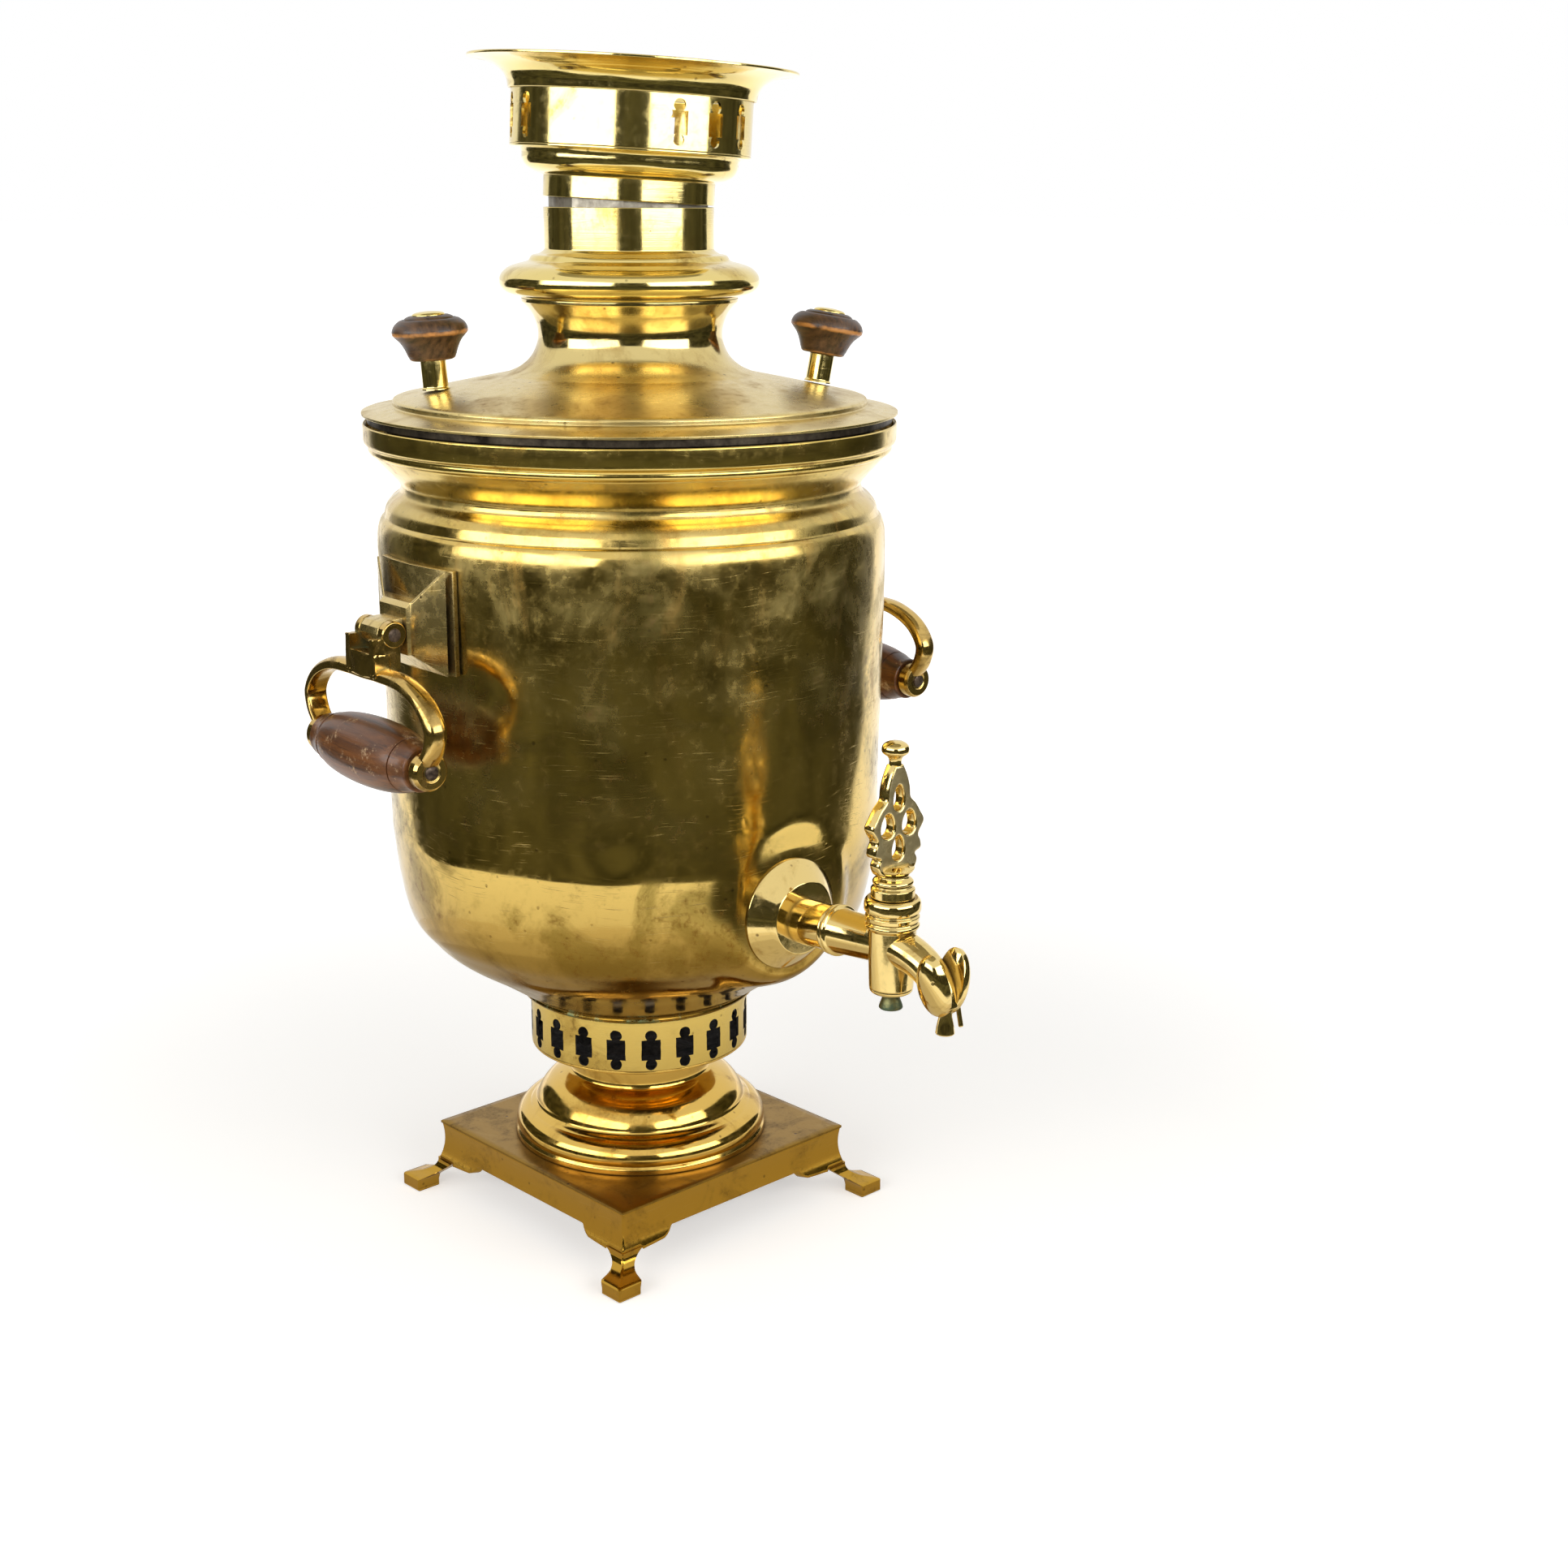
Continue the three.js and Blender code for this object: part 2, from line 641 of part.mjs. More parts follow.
function flueTube() {
  const taper = outline(flue.taperShares, [flue.pipeRadius, flue.fireRadius], [tankFloor, mouth]);
  const wall = [[flue.fireRadius, tankFloor], ...smooth(taper, steps.curve), [flue.pipeRadius, flueTop]];
  return turned([
    [ledgeInner, draughtTop], [draught.radius, draughtTop], [draught.radius, tankFloor],
    ...wall,
    ...shifted(wall, -sheet, 0).reverse(),
    [ledgeInner, tankFloor],
  ], facets.neck);
}

function fireGrate() {
  const radius = flue.fireRadius - sheet - grate.clearance;
  const disc = rod(radius, tankFloor, tankFloor + grate.thick, facets.neck);
  const slots = Array.from({ length: grate.slots }, (_, i) => {
    const middle = (i - (grate.slots - 1) / 2) * grate.slotPitch;
    const half = Math.sqrt((radius - grate.rim) ** 2 - (Math.abs(middle) + grate.slotWidth) ** 2);
    return box(
      [middle - grate.slotWidth / 2, -half, tankFloor - overrun],
      [middle + grate.slotWidth / 2, half, tankFloor + grate.thick + overrun],
    );
  });
  return disc.subtract(union(slots));
}

// Tank, collar and lid.

function tankWall(bellySteps, shoulderSteps) {
  const wallFoot = tank.radius - tank.wallTaper;
  return [
    ...smooth(outline(tank.bellyShares, [lipRadius, wallFoot], [bellyBottom, bellyTop]), bellySteps),
    [tank.radius, wallTop],
    ...smooth(outline(tank.shoulderShares, [mouthRadius, tank.radius], [wallTop, mouth]), shoulderSteps),
  ];
}

function tankOuter() {
  const lip = outline(tank.lipShares, [tank.baseRadius, lipRadius], [tankFloor, bellyBottom]);
  return [...lip, ...tankWall(steps.belly, steps.curve)];
}

// The outside radius of the tank at a height.
function wallRadiusAt(height) {
  const outer = tankOuter();
  const above = outer.findIndex(([, z]) => z >= height);
  const [[r0, z0], [r1, z1]] = [outer[above - 1], outer[above]];
  return r0 + ((r1 - r0) * (height - z0)) / (z1 - z0);
}

function tankShell() {
  const inside = inward(tankWall(steps.hidden, steps.hidden - 1), sheet);
  inside[inside.length - 1][1] = mouth;
  const floorHole = (flue.fireRadius + gap) / Math.cos(Math.PI / facets.body);
  return turned([
    [floorHole, tankFloor], ...tankOuter(), ...inside.reverse(), [floorHole, tankFloor + sheet],
  ], facets.body);
}

function collarRing() {
  const flare = outline(collar.flareShares, [mouthRadius, collarRadius], [mouth, rimBottom]);
  const back = shifted(smooth(flare, steps.hidden), -collar.wall, 0);
  back[back.length - 1][1] -= collar.wall;
  return turned([
    ...smooth(flare, steps.curve),
    [collarRadius, rimBottom], [collarRadius, collarTop],
    [collarRadius - collar.wall, collarTop], [collarRadius - collar.wall, rimBottom],
    ...back.reverse(),
  ], facets.body);
}

function lidCover() {
  const throat = outline(lid.throatShares, [lid.waistRadius, lid.coneRadius], [coneTop, throatTop]);
  const coneFoot = stepRadius - lid.edgeRound;
  return turned([
    [lidRadius, lidUnder], [lidRadius, lidEdge],
    [stepRadius, stepBottom], [stepRadius, stepTop - lid.edgeRound],
    [coneFoot, stepTop], [lid.coneRadius, coneTop],
    ...smooth(throat, steps.curve + 1),
    [lid.seamRadius, seamTop], [lid.seamRadius - sheet, seamTop],
    ...shifted(smooth(throat, steps.hidden), -sheet, 0).reverse(),
    [lid.coneRadius, coneTop - sheet], [coneFoot, stepTop - sheet],
    [stepRadius - sheet, stepBottom], [stepRadius - sheet, lidUnder],
  ], facets.body);
}

function lidNeck() {
  const bead = outline(lid.beadShares, [lid.pipeRadius, lid.beadRadius], [seamTop, beadTop]);
  const collet = outline(lid.colletShares, [lid.pipeRadius, lid.beadRadius], [beadTop, colletTop]);
  return turned([
    [lid.seamRadius, seamTop],
    ...smooth(bead, steps.curve + 1),
    ...collet,
    [lid.pipeRadius, colletTop], [lid.pipeRadius, pipeTop],
    [lid.pipeRadius - sheet, pipeTop], [lid.pipeRadius - sheet, colletTop],
    ...shifted(smooth(bead, steps.hidden), -lid.beadWall, 0).reverse(),
    [lid.seamRadius - sheet, seamTop],
  ], facets.neck);
}

function lidSkirt() {
  const band = collarRadius - lid.bandIn;
  const spigot = collarRadius - lid.spigotIn;
  const spigotBottom = collarTop - lid.spigotDrop;
  return turned([
    [spigot, spigotBottom], [spigot, collarTop], [band, collarTop], [band, lidUnder],
    [spigot - sheet, lidUnder], [spigot - sheet, spigotBottom],
  ], facets.body);
}

// The height on the lid's cone where a leaning stalk's foot clears the sheet.
function knobSeat(reach) {
  const slope = lid.coneRise / (stepRadius - lid.edgeRound - lid.coneRadius);
  const under = stepTop + slope * (stepRadius - lid.edgeRound - reach + knob.footRadius);
  return under + gap - knob.footRadius * Math.sin(degrees(knob.lean));
}

// A stalk with its knob and cap, standing on the lid's cone and leaning outward.
function lidKnob(side) {
  const { stalkHeight, stalkRadius, footRadius, footHeight } = knob;
  const woodTop = stalkHeight + knob.height;
  const stalk = turned([
    [0, 0], [footRadius, 0], [footRadius, footHeight / 2],
    [stalkRadius, footHeight], [stalkRadius, stalkHeight], [0, stalkHeight],
  ], facets.small);
  const sides = outline(knob.sideShares, [0, knob.radius], [stalkHeight, woodTop]);
  const wood = turned([[0, stalkHeight], ...smooth(sides, steps.belly), [0, woodTop]], facets.small);
  const dome = outline(knob.capShares, [0, knob.capRadius], [woodTop, woodTop + knob.capHeight]);
  const cap = turned([[0, woodTop], ...dome], facets.small);
  const reach = stepRadius - knob.inFromStep;
  const group = new THREE.Group();
  group.add(piece(`knob_stalk_${side}`, stalk, brass));
  group.add(piece(`lid_knob_${side}`, wood, ebonised));
  group.add(piece(`knob_cap_${side}`, cap, brass));
  group.rotation.y = degrees(knob.lean);
  group.position.set(reach, 0, knobSeat(reach));
  const turn = new THREE.Group();
  turn.add(group);
  turn.rotation.z = degrees(lid.turn) + (side === 'left' ? Math.PI : 0);
  return turn;
}

function lidGroup() {
  const group = new THREE.Group();
  group.add(piece('lid_cover', lidCover(), brass));
  group.add(piece('lid_neck', lidNeck(), brass));
  group.add(piece('lid_skirt', lidSkirt(), tinned));
  group.add(lidKnob('left'), lidKnob('right'));
  return group;
}

// Crown: a pierced cup that stands loosely on the pipe.

function crownSeat() {
  const { ledgeRadius } = crown;
  const bowl = outline(crown.bowlShares, [sleeveRadius, ledgeRadius], [sleeveTop, bowlTop]);
  const bowlEdge = bowl[bowl.length - 1][0];
  return turned([
    [crownBore, crownBottom], [sleeveRadius, crownBottom], [sleeveRadius, sleeveTop],
    ...smooth(bowl, steps.curve),
    [ledgeRadius, bowlTop], [ledgeRadius, ledgeTop], [bowlEdge - sheet, ledgeTop],
    ...shifted(bowl.slice(1, -1), -sheet, sheet / 2).reverse(),
    [crownBore, sleeveTop + sheet],
  ], facets.neck);
}

function crownBand() {
  const inner = crown.ledgeRadius - sheet;
  const step = 360 / facets.band;
  const tube = turned([
    [inner, ledgeTop], [crown.ledgeRadius, ledgeTop], [crown.ledgeRadius, bandTop], [inner, bandTop],
  ], facets.band).rotate([0, 0, crown.firstHole - step / 2]);
  const hole = keyhole(crown, ledgeTop + crown.belowHoles, bandTop - crown.aboveHoles);
  const cutters = Array.from({ length: crown.holeGroups * crown.holesInGroup }, (_, i) => {
    const group = Math.floor(i / crown.holesInGroup);
    const angle = (360 * group) / crown.holeGroups + (i % crown.holesInGroup) * step;
    return wallCutter(hole, crown.ledgeRadius + overrun, crown.firstHole + angle);
  });
  return tube.subtract(union(cutters));
}

function crownRim() {
  const trumpet = outline(crown.trumpetShares, [crown.ledgeRadius, crown.rimRadius], [bandTop, rimTop]);
  return turned([
    [crown.ledgeRadius - sheet, bandTop], [crown.ledgeRadius + crown.rimOverhang, bandTop],
    ...smooth(trumpet, steps.curve + 1),
    ...shifted(smooth(trumpet, steps.hidden), -sheet, sheet / 2).reverse(),
  ], facets.body);
}

function crownGroup() {
  const tilted = new THREE.Group();
  tilted.add(piece('crown_seat', crownSeat(), brass));
  tilted.add(piece('crown_band', crownBand(), brass));
  tilted.add(piece('crown_rim', crownRim(), brass));
  tilted.children.forEach((mesh) => mesh.position.set(0, 0, -crownBottom));
  const toward = degrees(crown.leanToward) - quarterTurn;
  const axis = new THREE.Vector3(-Math.sin(toward), Math.cos(toward), 0);
  tilted.quaternion.setFromAxisAngle(axis, degrees(crown.lean));
  tilted.position.z = crownBottom;
  return tilted;
}

// Tap.

// Turns a solid made along +Z so that it runs along -Y, rising by the tap's angle, from the shield's
// face.
function alongTube(solid) {
  return solid.rotate([90 - tap.rise, 0, 0]).translate([0, -shieldFront, tubeRoot]);
}

function tankBlock(extra) {
  const outer = shifted(tankOuter(), extra, 0);
  return turned([[0, tankFloor], ...outer, [0, mouth]], facets.body);
}

function tubeSolid(extra) {
  const tail = wallAtTap - shieldFront - tap.tubeTail;
  const length = tap.tubeLength / Math.cos(degrees(tap.rise));
  const bead = outline(
    tap.beadShares,
    [tap.tubeRoot, tap.tubeRoot + tap.beadStand],
    [tap.beadAt, tap.beadAt + tap.beadLength],
  );
  const profile = [
    [tap.tubeRoot, tail], [tap.tubeRoot, 0], ...smooth(bead, steps.belly), [tap.tubeEnd, length],
  ];
  return alongTube(turned([
    [0, tail], ...shifted(profile, extra, 0), [0, length],
  ], facets.small));
}

function wallShield() {
  const base = shieldFront - tap.shieldLength;
  const cone = turned([
    [0, base - tap.shieldBack], [tap.shieldBase, base - tap.shieldBack],
    [tap.shieldBase, base], [tap.shieldFace, shieldFront], [0, shieldFront],
  ], facets.body);
  const placed = cone.rotate([90, 0, 0]).translate([0, 0, tubeRoot + tap.shieldLift]);
  return placed.subtract(tankBlock(gap)).subtract(tubeSolid(gap));
}

// A solid swept along [y, z] path points; each ring holds [x, outward] pairs about its point.
function sweep(path, ringAt) {
  return loft(path.map(([y, z], i) => {
    const [y0, z0] = path[Math.max(i - 1, 0)];
    const [y1, z1] = path[Math.min(i + 1, path.length - 1)];
    const length = Math.hypot(y1 - y0, z1 - z0);
    const [ny, nz] = [(z0 - z1) / length, (y1 - y0) / length];
    return ringAt(i / (path.length - 1)).map(([x, out]) => [x, y + ny * out, z + nz * out]);
  }));
}

function spoutSolid(inset) {
  const points = outline(tap.spoutShares, [barrelReach, spoutEnd], [tubeAxis, tubeAxis - tap.spoutDrop]);
  const path = smooth(points, steps.curve + 1).map(([reach, z]) => [-reach, z]);
  return sweep(path, (share) => {
    const radius = tap.spoutRoot + (tap.spoutEnd - tap.spoutRoot) * share - inset;
    return ellipse([0, 0], [radius, radius], facets.pin);
  });
}

// One rounded leaf beside the mouth of the spout, flat on its inner side and leaning outward.
function cheek(side) {
  const round = new THREE.SphereGeometry(1, facets.pin, facets.pin);
  round.scale(tap.cheekThick, tap.cheekWide, tap.cheekLong);
  const outer = box([0, -tap.cheekLong, -tap.cheekLong], [tap.cheekLong, tap.cheekLong, tap.cheekLong]);
  const leaf = solidOf(round).intersect(outer).rotate([0, tap.cheekLean, 0]);
  const turnedLeaf = side > 0 ? leaf : leaf.mirror([1, 0, 0]);
  return turnedLeaf.translate([
    (side * tap.cheekApart) / 2, tap.cheekBack - spoutEnd, tubeAxis - tap.cheekDrop,
  ]);
}

function nozzleSolid() {
  const mouthHeight = tubeAxis - tap.spoutDrop;
  const top = mouthHeight - tap.nozzleDrop;
  const tube = turned([
    [0, top - tap.nozzleLength], [tap.nozzleEnd, top - tap.nozzleLength], [tap.nozzleRoot, top],
    [tap.spoutEnd - tap.nozzleDrop, top + sheet], [0, mouthHeight + sheet],
  ], facets.pin);
  return tube.translate([0, -spoutEnd, 0]);
}

function dripPin() {
  const pin = rod(tap.dripRadius, -tap.dripLength, 0, facets.pin);
  const leaning = pin.rotate([-tap.dripLean, 0, 0]);
  return leaning.translate([tap.dripAside, -spoutEnd, tubeAxis - tap.spoutDrop + tap.dripRise]);
}

function tapBody() {
  const profile = outline(tap.barrelShares, [0, tap.barrelRadius], [barrelBottom, barrelTop]);
  const barrel = turned([[0, barrelBottom], ...profile, [0, barrelTop]], facets.small);
  const bore = rod(tap.plugBore, barrelBottom - overrun, barrelTop + overrun, facets.small);
  const boreFrom = wallAtTap - shieldFront - tap.tubeTail - overrun;
  const tubeBore = alongTube(rod(tap.tubeBore, boreFrom, tap.tubeLength, facets.pin));
  const mouthHeight = tubeAxis - tap.spoutDrop;
  const nozzleLow = mouthHeight - tap.nozzleDrop - tap.nozzleLength - overrun;
  const nozzleBore = rod(tap.nozzleBore, nozzleLow, mouthHeight, facets.pin);
  const solid = union([
    tubeSolid(0), barrel.translate([0, -barrelReach, 0]), spoutSolid(0),
    cheek(1), cheek(-1), nozzleSolid(), dripPin(),
  ]);
  return solid
    .subtract(bore.translate([0, -barrelReach, 0]))
    .subtract(tubeBore)
    .subtract(spoutSolid(tap.spoutWall))
    .subtract(nozzleBore.translate([0, -spoutEnd, 0]));
}

// The plug that turns in the barrel, with its port and the tail that shows below.
function plugSolid() {
  const stemRadius = tap.plugBore - gap;
  const tailEnd = barrelBottom - plug.tailLength - gap;
  const stem = turned([
    [0, tailEnd], [plug.tailRadius, tailEnd], [plug.tailRadius, tailEnd + sheet],
    [plug.tailWaist, barrelBottom - gap], [stemRadius, barrelBottom + sheet],
    [stemRadius, barrelTop + gap], [0, barrelTop + gap],
  ], facets.small);
  const port = rod(tap.tubeBore, -tap.plugBore, tap.plugBore, facets.pin).rotate([90, 0, 0]);
  return stem.subtract(port.translate([0, 0, tubeAxis]));
}

function keyPlate(bottom) {
  const edge = outline(key.edgeShares, [0, key.halfWidth], [0, key.height]);
  const right = smooth(edge, steps.edge);
  const leaf = [...right, ...right.map(([x, z]) => [-x, z]).reverse()];
  const holes = key.openingShares.map(([across, up, halfWide, halfHigh]) => ellipse(
    [across * key.halfWidth, up * key.height],
    [halfWide * key.halfWidth, halfHigh * key.height],
    facets.pin,
  ).reverse());
  const plate = slab(leaf, key.thick, holes);
  return solidOf(plate.rotateX(quarterTurn).translate(0, key.thick / 2, bottom));
}

function keySolid() {
  const headBottom = barrelTop + gap;
  const headTop = headBottom + plug.headHeight;
  const plateBottom = headTop - plug.headSink;
  const headEdge = outline(plug.headShares, [0, plug.headRadius], [headBottom, headTop]);
  const head = turned([[0, headBottom], ...headEdge, [0, headTop]], facets.small);
  const finialFoot = plateBottom + key.height - key.finialSink;
  const finialEdge = outline(
    key.finialShares,
    [0, key.finialRadius],
    [finialFoot, finialFoot + key.finialSink + key.finialHeight],
  );
  const finial = turned([[0, finialFoot], ...finialEdge], facets.small);
  return union([head, keyPlate(plateBottom), finial]);
}

function tapGroup() {
  const group = new THREE.Group();
  const barrelAxis = [0, -barrelReach, 0];
  group.add(piece('wall_shield', wallShield(), brass));
  group.add(piece('tap_body', tapBody(), brass));
  group.add(piece('tap_plug', plugSolid().translate(barrelAxis), brass));
  group.add(piece('tap_key', keySolid().translate(barrelAxis), brass));
  return group;
}

// Handles, made for the +X side.

// A rod along Y through [x, z], from one y to another.
function crossRod(radius, [x, z], from, to, sides) {
  return rod(radius, from, to, sides).rotate([-90, 0, 0]).translate([x, 0, z]);
}

// The sheet flange on the wall, two raised wings that brace it, and the arm that holds the hinge pin.
function bracketSolid() {
  const low = pinHeight - bracket.below;
  const high = pinHeight + bracket.above;
  const ring = turned([
    [flangeIn, low], [flangeOut, low], [flangeOut, high], [flangeIn, high],
  ], 2 * facets.body);
  const reach = flangeOut + overrun;
  const spread = reach * Math.tan(degrees(bracket.flangeAngle));
  const wedge = slab([[0, 0], [reach, -spread], [reach, spread]], high + overrun);
  const root = flangeOut - sheet / 2;
  const armRoot = flangeOut + bracket.armRoot;
  const armEnd = flangeIn + bracket.armLength + bracket.flangeThick;
  const armTopRoot = pinHeight + bracket.armAbove + bracket.armRise;
  const armLow = pinHeight - bracket.armBelow;
  const panel = (x, half, from, to) => [[x, -half, from], [x, half, from], [x, half, to], [x, -half, to]];
  const arm = loft([
    panel(root, bracket.wingHalf, low, armTopRoot),
    panel(armRoot, bracket.armHalf, armLow, armTopRoot),
    panel(armEnd, bracket.armHalf, armLow, pinHeight + bracket.armAbove),
  ]);
  const wing = (side) => {
    const triangle = (inset) => [
      [root, side * (bracket.wingHalf - inset), armTopRoot - sheet],
      [armRoot, side * (bracket.armHalf - inset), armTopRoot - sheet],
      [root, side * (bracket.wingHalf - inset), high],
    ];
    return loft([triangle(0), triangle(bracket.wingThick)]);
  };
  const pinAt = [pinReach, pinHeight];
  const half = bracket.tongueHalf;
  const tongue = box([armRoot, -half, pinHeight - hinge.radius], [pinReach, half, pinHeight + hinge.radius]);
  const knuckle = crossRod(hinge.radius, pinAt, -half, half, facets.small);
  const bore = crossRod(hinge.pinRadius + hinge.play, pinAt, -half - overrun, half + overrun, facets.pin);
  return union([ring.intersect(solidOf(wedge)), arm, wing(1), wing(-1), tongue, knuckle]).subtract(bore);
}

// Half-round section of the strap as [x, outward] pairs, flat toward the hand.
function strapRing() {
  const half = bail.strapWide / 2;
  const right = outline(bail.sectionShares, [strapPlane, strapPlane + half], [0, bail.strapThick]);
  const left = outline(bail.sectionShares.slice(1), [strapPlane, strapPlane - half], [0, bail.strapThick]);
  return [...right.reverse(), ...left];
}

// The lowest outline of the strap runs back into the bosses that hold the grip.
function bailSolid() {
  const right = outline(bail.pathShares, [0, bail.half], [pinHeight, gripHeight]);
  const left = right.slice(1).map(([y, z]) => [-y, z]).reverse();
  const strap = sweep(smooth([...left, ...right], steps.strap), strapRing);
  const earIn = bracket.tongueHalf + bail.earPlay;
  const earOut = earIn + bail.earThick;
  const blockTop = pinHeight - bail.blockBelow;
  const blockLow = blockTop - bail.blockHeight;
  const blockOut = strapPlane + bail.blockOut;
  const pinAt = [pinReach, pinHeight];
  const gripAt = [strapPlane, gripHeight];
  const solids = [strap, box([strapPlane - bail.blockIn, -earOut, blockLow], [blockOut, earOut, blockTop])];
  [1, -1].forEach((side) => {
    const [from, to] = [side * earIn, side * earOut].sort((a, b) => a - b);
    const bossOut = bail.bossIn + bail.bossThick;
    const [bossFrom, bossTo] = [side * bail.bossIn, side * bossOut].sort((a, b) => a - b);
    solids.push(crossRod(hinge.radius, pinAt, from, to, facets.small));
    solids.push(box([strapPlane - bail.neckIn, from, blockLow + sheet], [blockOut, to, pinHeight]));
    solids.push(crossRod(bail.bossRadius, gripAt, bossFrom, bossTo, facets.small));
  });
  const reach = bail.bossIn + bail.bossThick + overrun;
  return union(solids)
    .subtract(crossRod(hinge.pinRadius + hinge.play, pinAt, -reach, reach, facets.pin))
    .subtract(crossRod(grip.pinRadius + hinge.play, gripAt, -reach, reach, facets.pin));
}

function gripSolid() {
  const half = bail.bossIn - grip.endPlay;
  const ends = outline(grip.endShares, [grip.endRadius, grip.middleRadius], [0, half]);
  const body = outline(grip.grooveShares, [grip.endRadius, grip.middleRadius], [0, half]);
  body[1][0] -= grip.grooveDepth;
  const upper = [...ends, ...body].reverse();
  const lower = upper.map(([r, y]) => [r, -y]).reverse();
  const profile = [[grip.boreRadius, -half], ...lower, ...upper, [grip.boreRadius, half]];
  return turned(profile, facets.small).rotate([-90, 0, 0]).translate([strapPlane, 0, gripHeight]);
}

function handleGroup(side) {
  const group = new THREE.Group();
  const gripPinHalf = bail.bossIn + bail.bossThick + grip.pinPast;
  const { pinRadius, pinHalf } = hinge;
  const hingePin = crossRod(pinRadius, [pinReach, pinHeight], -pinHalf, pinHalf, facets.pin);
  const gripPin = crossRod(grip.pinRadius, [strapPlane, gripHeight], -gripPinHalf, gripPinHalf, facets.pin);
  group.add(piece(`bracket_${side}`, bracketSolid(), brass));
  group.add(piece(`hinge_pin_${side}`, hingePin, iron));
  group.add(piece(`bail_${side}`, bailSolid(), brass));
  group.add(piece(`grip_${side}`, gripSolid(), walnut));
  group.add(piece(`grip_pin_${side}`, gripPin, iron));
  group.rotation.z = side === 'left' ? Math.PI : 0;
  return group;
}

// The whole samovar, its base box centred on the origin.

const samovar = new THREE.Group();
samovar.add(plinthGroup());
samovar.add(piece('pedestal', pedestalSolid(), brass));
samovar.add(piece('draught_ring', draughtRing(), brass));
samovar.add(piece('flue_tube', flueTube(), tinned));
samovar.add(piece('fire_grate', fireGrate(), iron));
samovar.add(piece('tank_shell', tankShell().subtract(tubeSolid(gap)), brass));
samovar.add(piece('collar_ring', collarRing(), brass));
samovar.add(lidGroup());
samovar.add(crownGroup());
samovar.add(tapGroup());
samovar.add(handleGroup('left'), handleGroup('right'));

const extent = new THREE.Box3().setFromObject(samovar);
const middle = extent.getCenter(new THREE.Vector3());
samovar.children.forEach((child) => child.position.sub(new THREE.Vector3(middle.x, middle.y, 0)));

export default samovar;
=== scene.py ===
# %% [markdown]
# # A brass samovar, dressed for the camera
#
# A samovar boils water with a charcoal fire in a pipe that runs up its middle. The solids come
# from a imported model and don't move. This lesson puts finely curved surfaces and worked metal,
# wood and tin over them, and ends with a camera, a floor and soft light.

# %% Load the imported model
import math

import bmesh
import bpy
import numpy as np
from mathutils import Matrix, Vector


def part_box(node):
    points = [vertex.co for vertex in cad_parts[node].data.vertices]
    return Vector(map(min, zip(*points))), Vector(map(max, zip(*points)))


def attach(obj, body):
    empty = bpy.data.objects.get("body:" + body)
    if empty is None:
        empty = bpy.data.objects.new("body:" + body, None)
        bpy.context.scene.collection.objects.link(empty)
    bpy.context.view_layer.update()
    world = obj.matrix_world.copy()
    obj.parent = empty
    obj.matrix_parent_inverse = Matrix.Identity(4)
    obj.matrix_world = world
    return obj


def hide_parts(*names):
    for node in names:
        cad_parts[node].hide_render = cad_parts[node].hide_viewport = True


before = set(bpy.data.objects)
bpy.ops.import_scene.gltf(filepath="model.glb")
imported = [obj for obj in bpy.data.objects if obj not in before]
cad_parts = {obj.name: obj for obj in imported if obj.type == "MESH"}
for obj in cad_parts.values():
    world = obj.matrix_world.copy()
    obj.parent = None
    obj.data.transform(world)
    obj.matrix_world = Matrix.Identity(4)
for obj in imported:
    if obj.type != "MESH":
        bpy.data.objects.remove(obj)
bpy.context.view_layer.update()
mouth_low, mouth_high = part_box("collar_ring")
AXIS = np.array([(mouth_low.x + mouth_high.x) / 2, (mouth_low.y + mouth_high.y) / 2, 0.0])
print("nodes:", len(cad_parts), "axis of the body in metres:", AXIS.round(5))

# %% [markdown]
# ## Outlines
#
# Nearly every part of a samovar was spun or turned, so its form is one outline carried round an
# axis. Outlines are lists of (radius, height) in millimetres. A spline runs through a few
# measured points, the corners get a small round so that they catch the light, and a sheet's
# inner face is its outer face moved square to itself.

# %% Curves and sheets
def smooth(points, count):
    """Catmull-Rom curve: between two points, a cubic whose slope at each point is half the step
    from the point before it to the point after it."""
    p = np.asarray(points, float)
    at = np.linspace(0, len(p) - 1, count + 1)
    i = np.minimum(at.astype(int), len(p) - 2)
    t = (at - i)[:, None]
    before, here, there, after = (p[np.clip(i + k, 0, len(p) - 1)] for k in (-1, 0, 1, 2))
    slope_here, slope_there = (there - before) / 2, (after - here) / 2
    cubic = 2 * here - 2 * there + slope_here + slope_there
    square = -3 * here + 3 * there - 2 * slope_here - slope_there
    return ((cubic * t + square) * t + slope_here) * t + here


def directions(path):
    """A unit vector along the path at each point, from the point before it to the one after."""
    along = np.gradient(path, axis=0)
    return along / np.linalg.norm(along, axis=1, keepdims=True)


def inset(outer, thickness):
    """The outline moved to its left side by a thickness: each point goes along the normal, which
    is the path's direction turned a quarter."""
    p = np.asarray(outer, float)
    along = directions(p)
    return p + thickness * np.stack([-along[:, 1], along[:, 0]], 1)


def sheet(outer, thickness):
    """A closed outline: the outer face, then the inner face back to the start."""
    return np.concatenate([outer, inset(outer, thickness)[::-1]])


print("a wall of three points closes to", len(sheet([(0, 0), (0, 1), (0, 2)], 0.1)), "points")

# %% [markdown]
# A sharp corner in a mesh shows no glint, and a long flat stretch has no points that could be
# dented. So each corner gets a small arc, and long stretches get points in between. A bevel
# modifier could round the corners too, but an arc in the outline costs nothing to repeat.

# %% Corners and spacing
LEAD = 1.45  # where the last point before an arc stands, in lengths of the cut corner
LEAST_STEP = 0.004  # mm: nearer points of an outline count as one


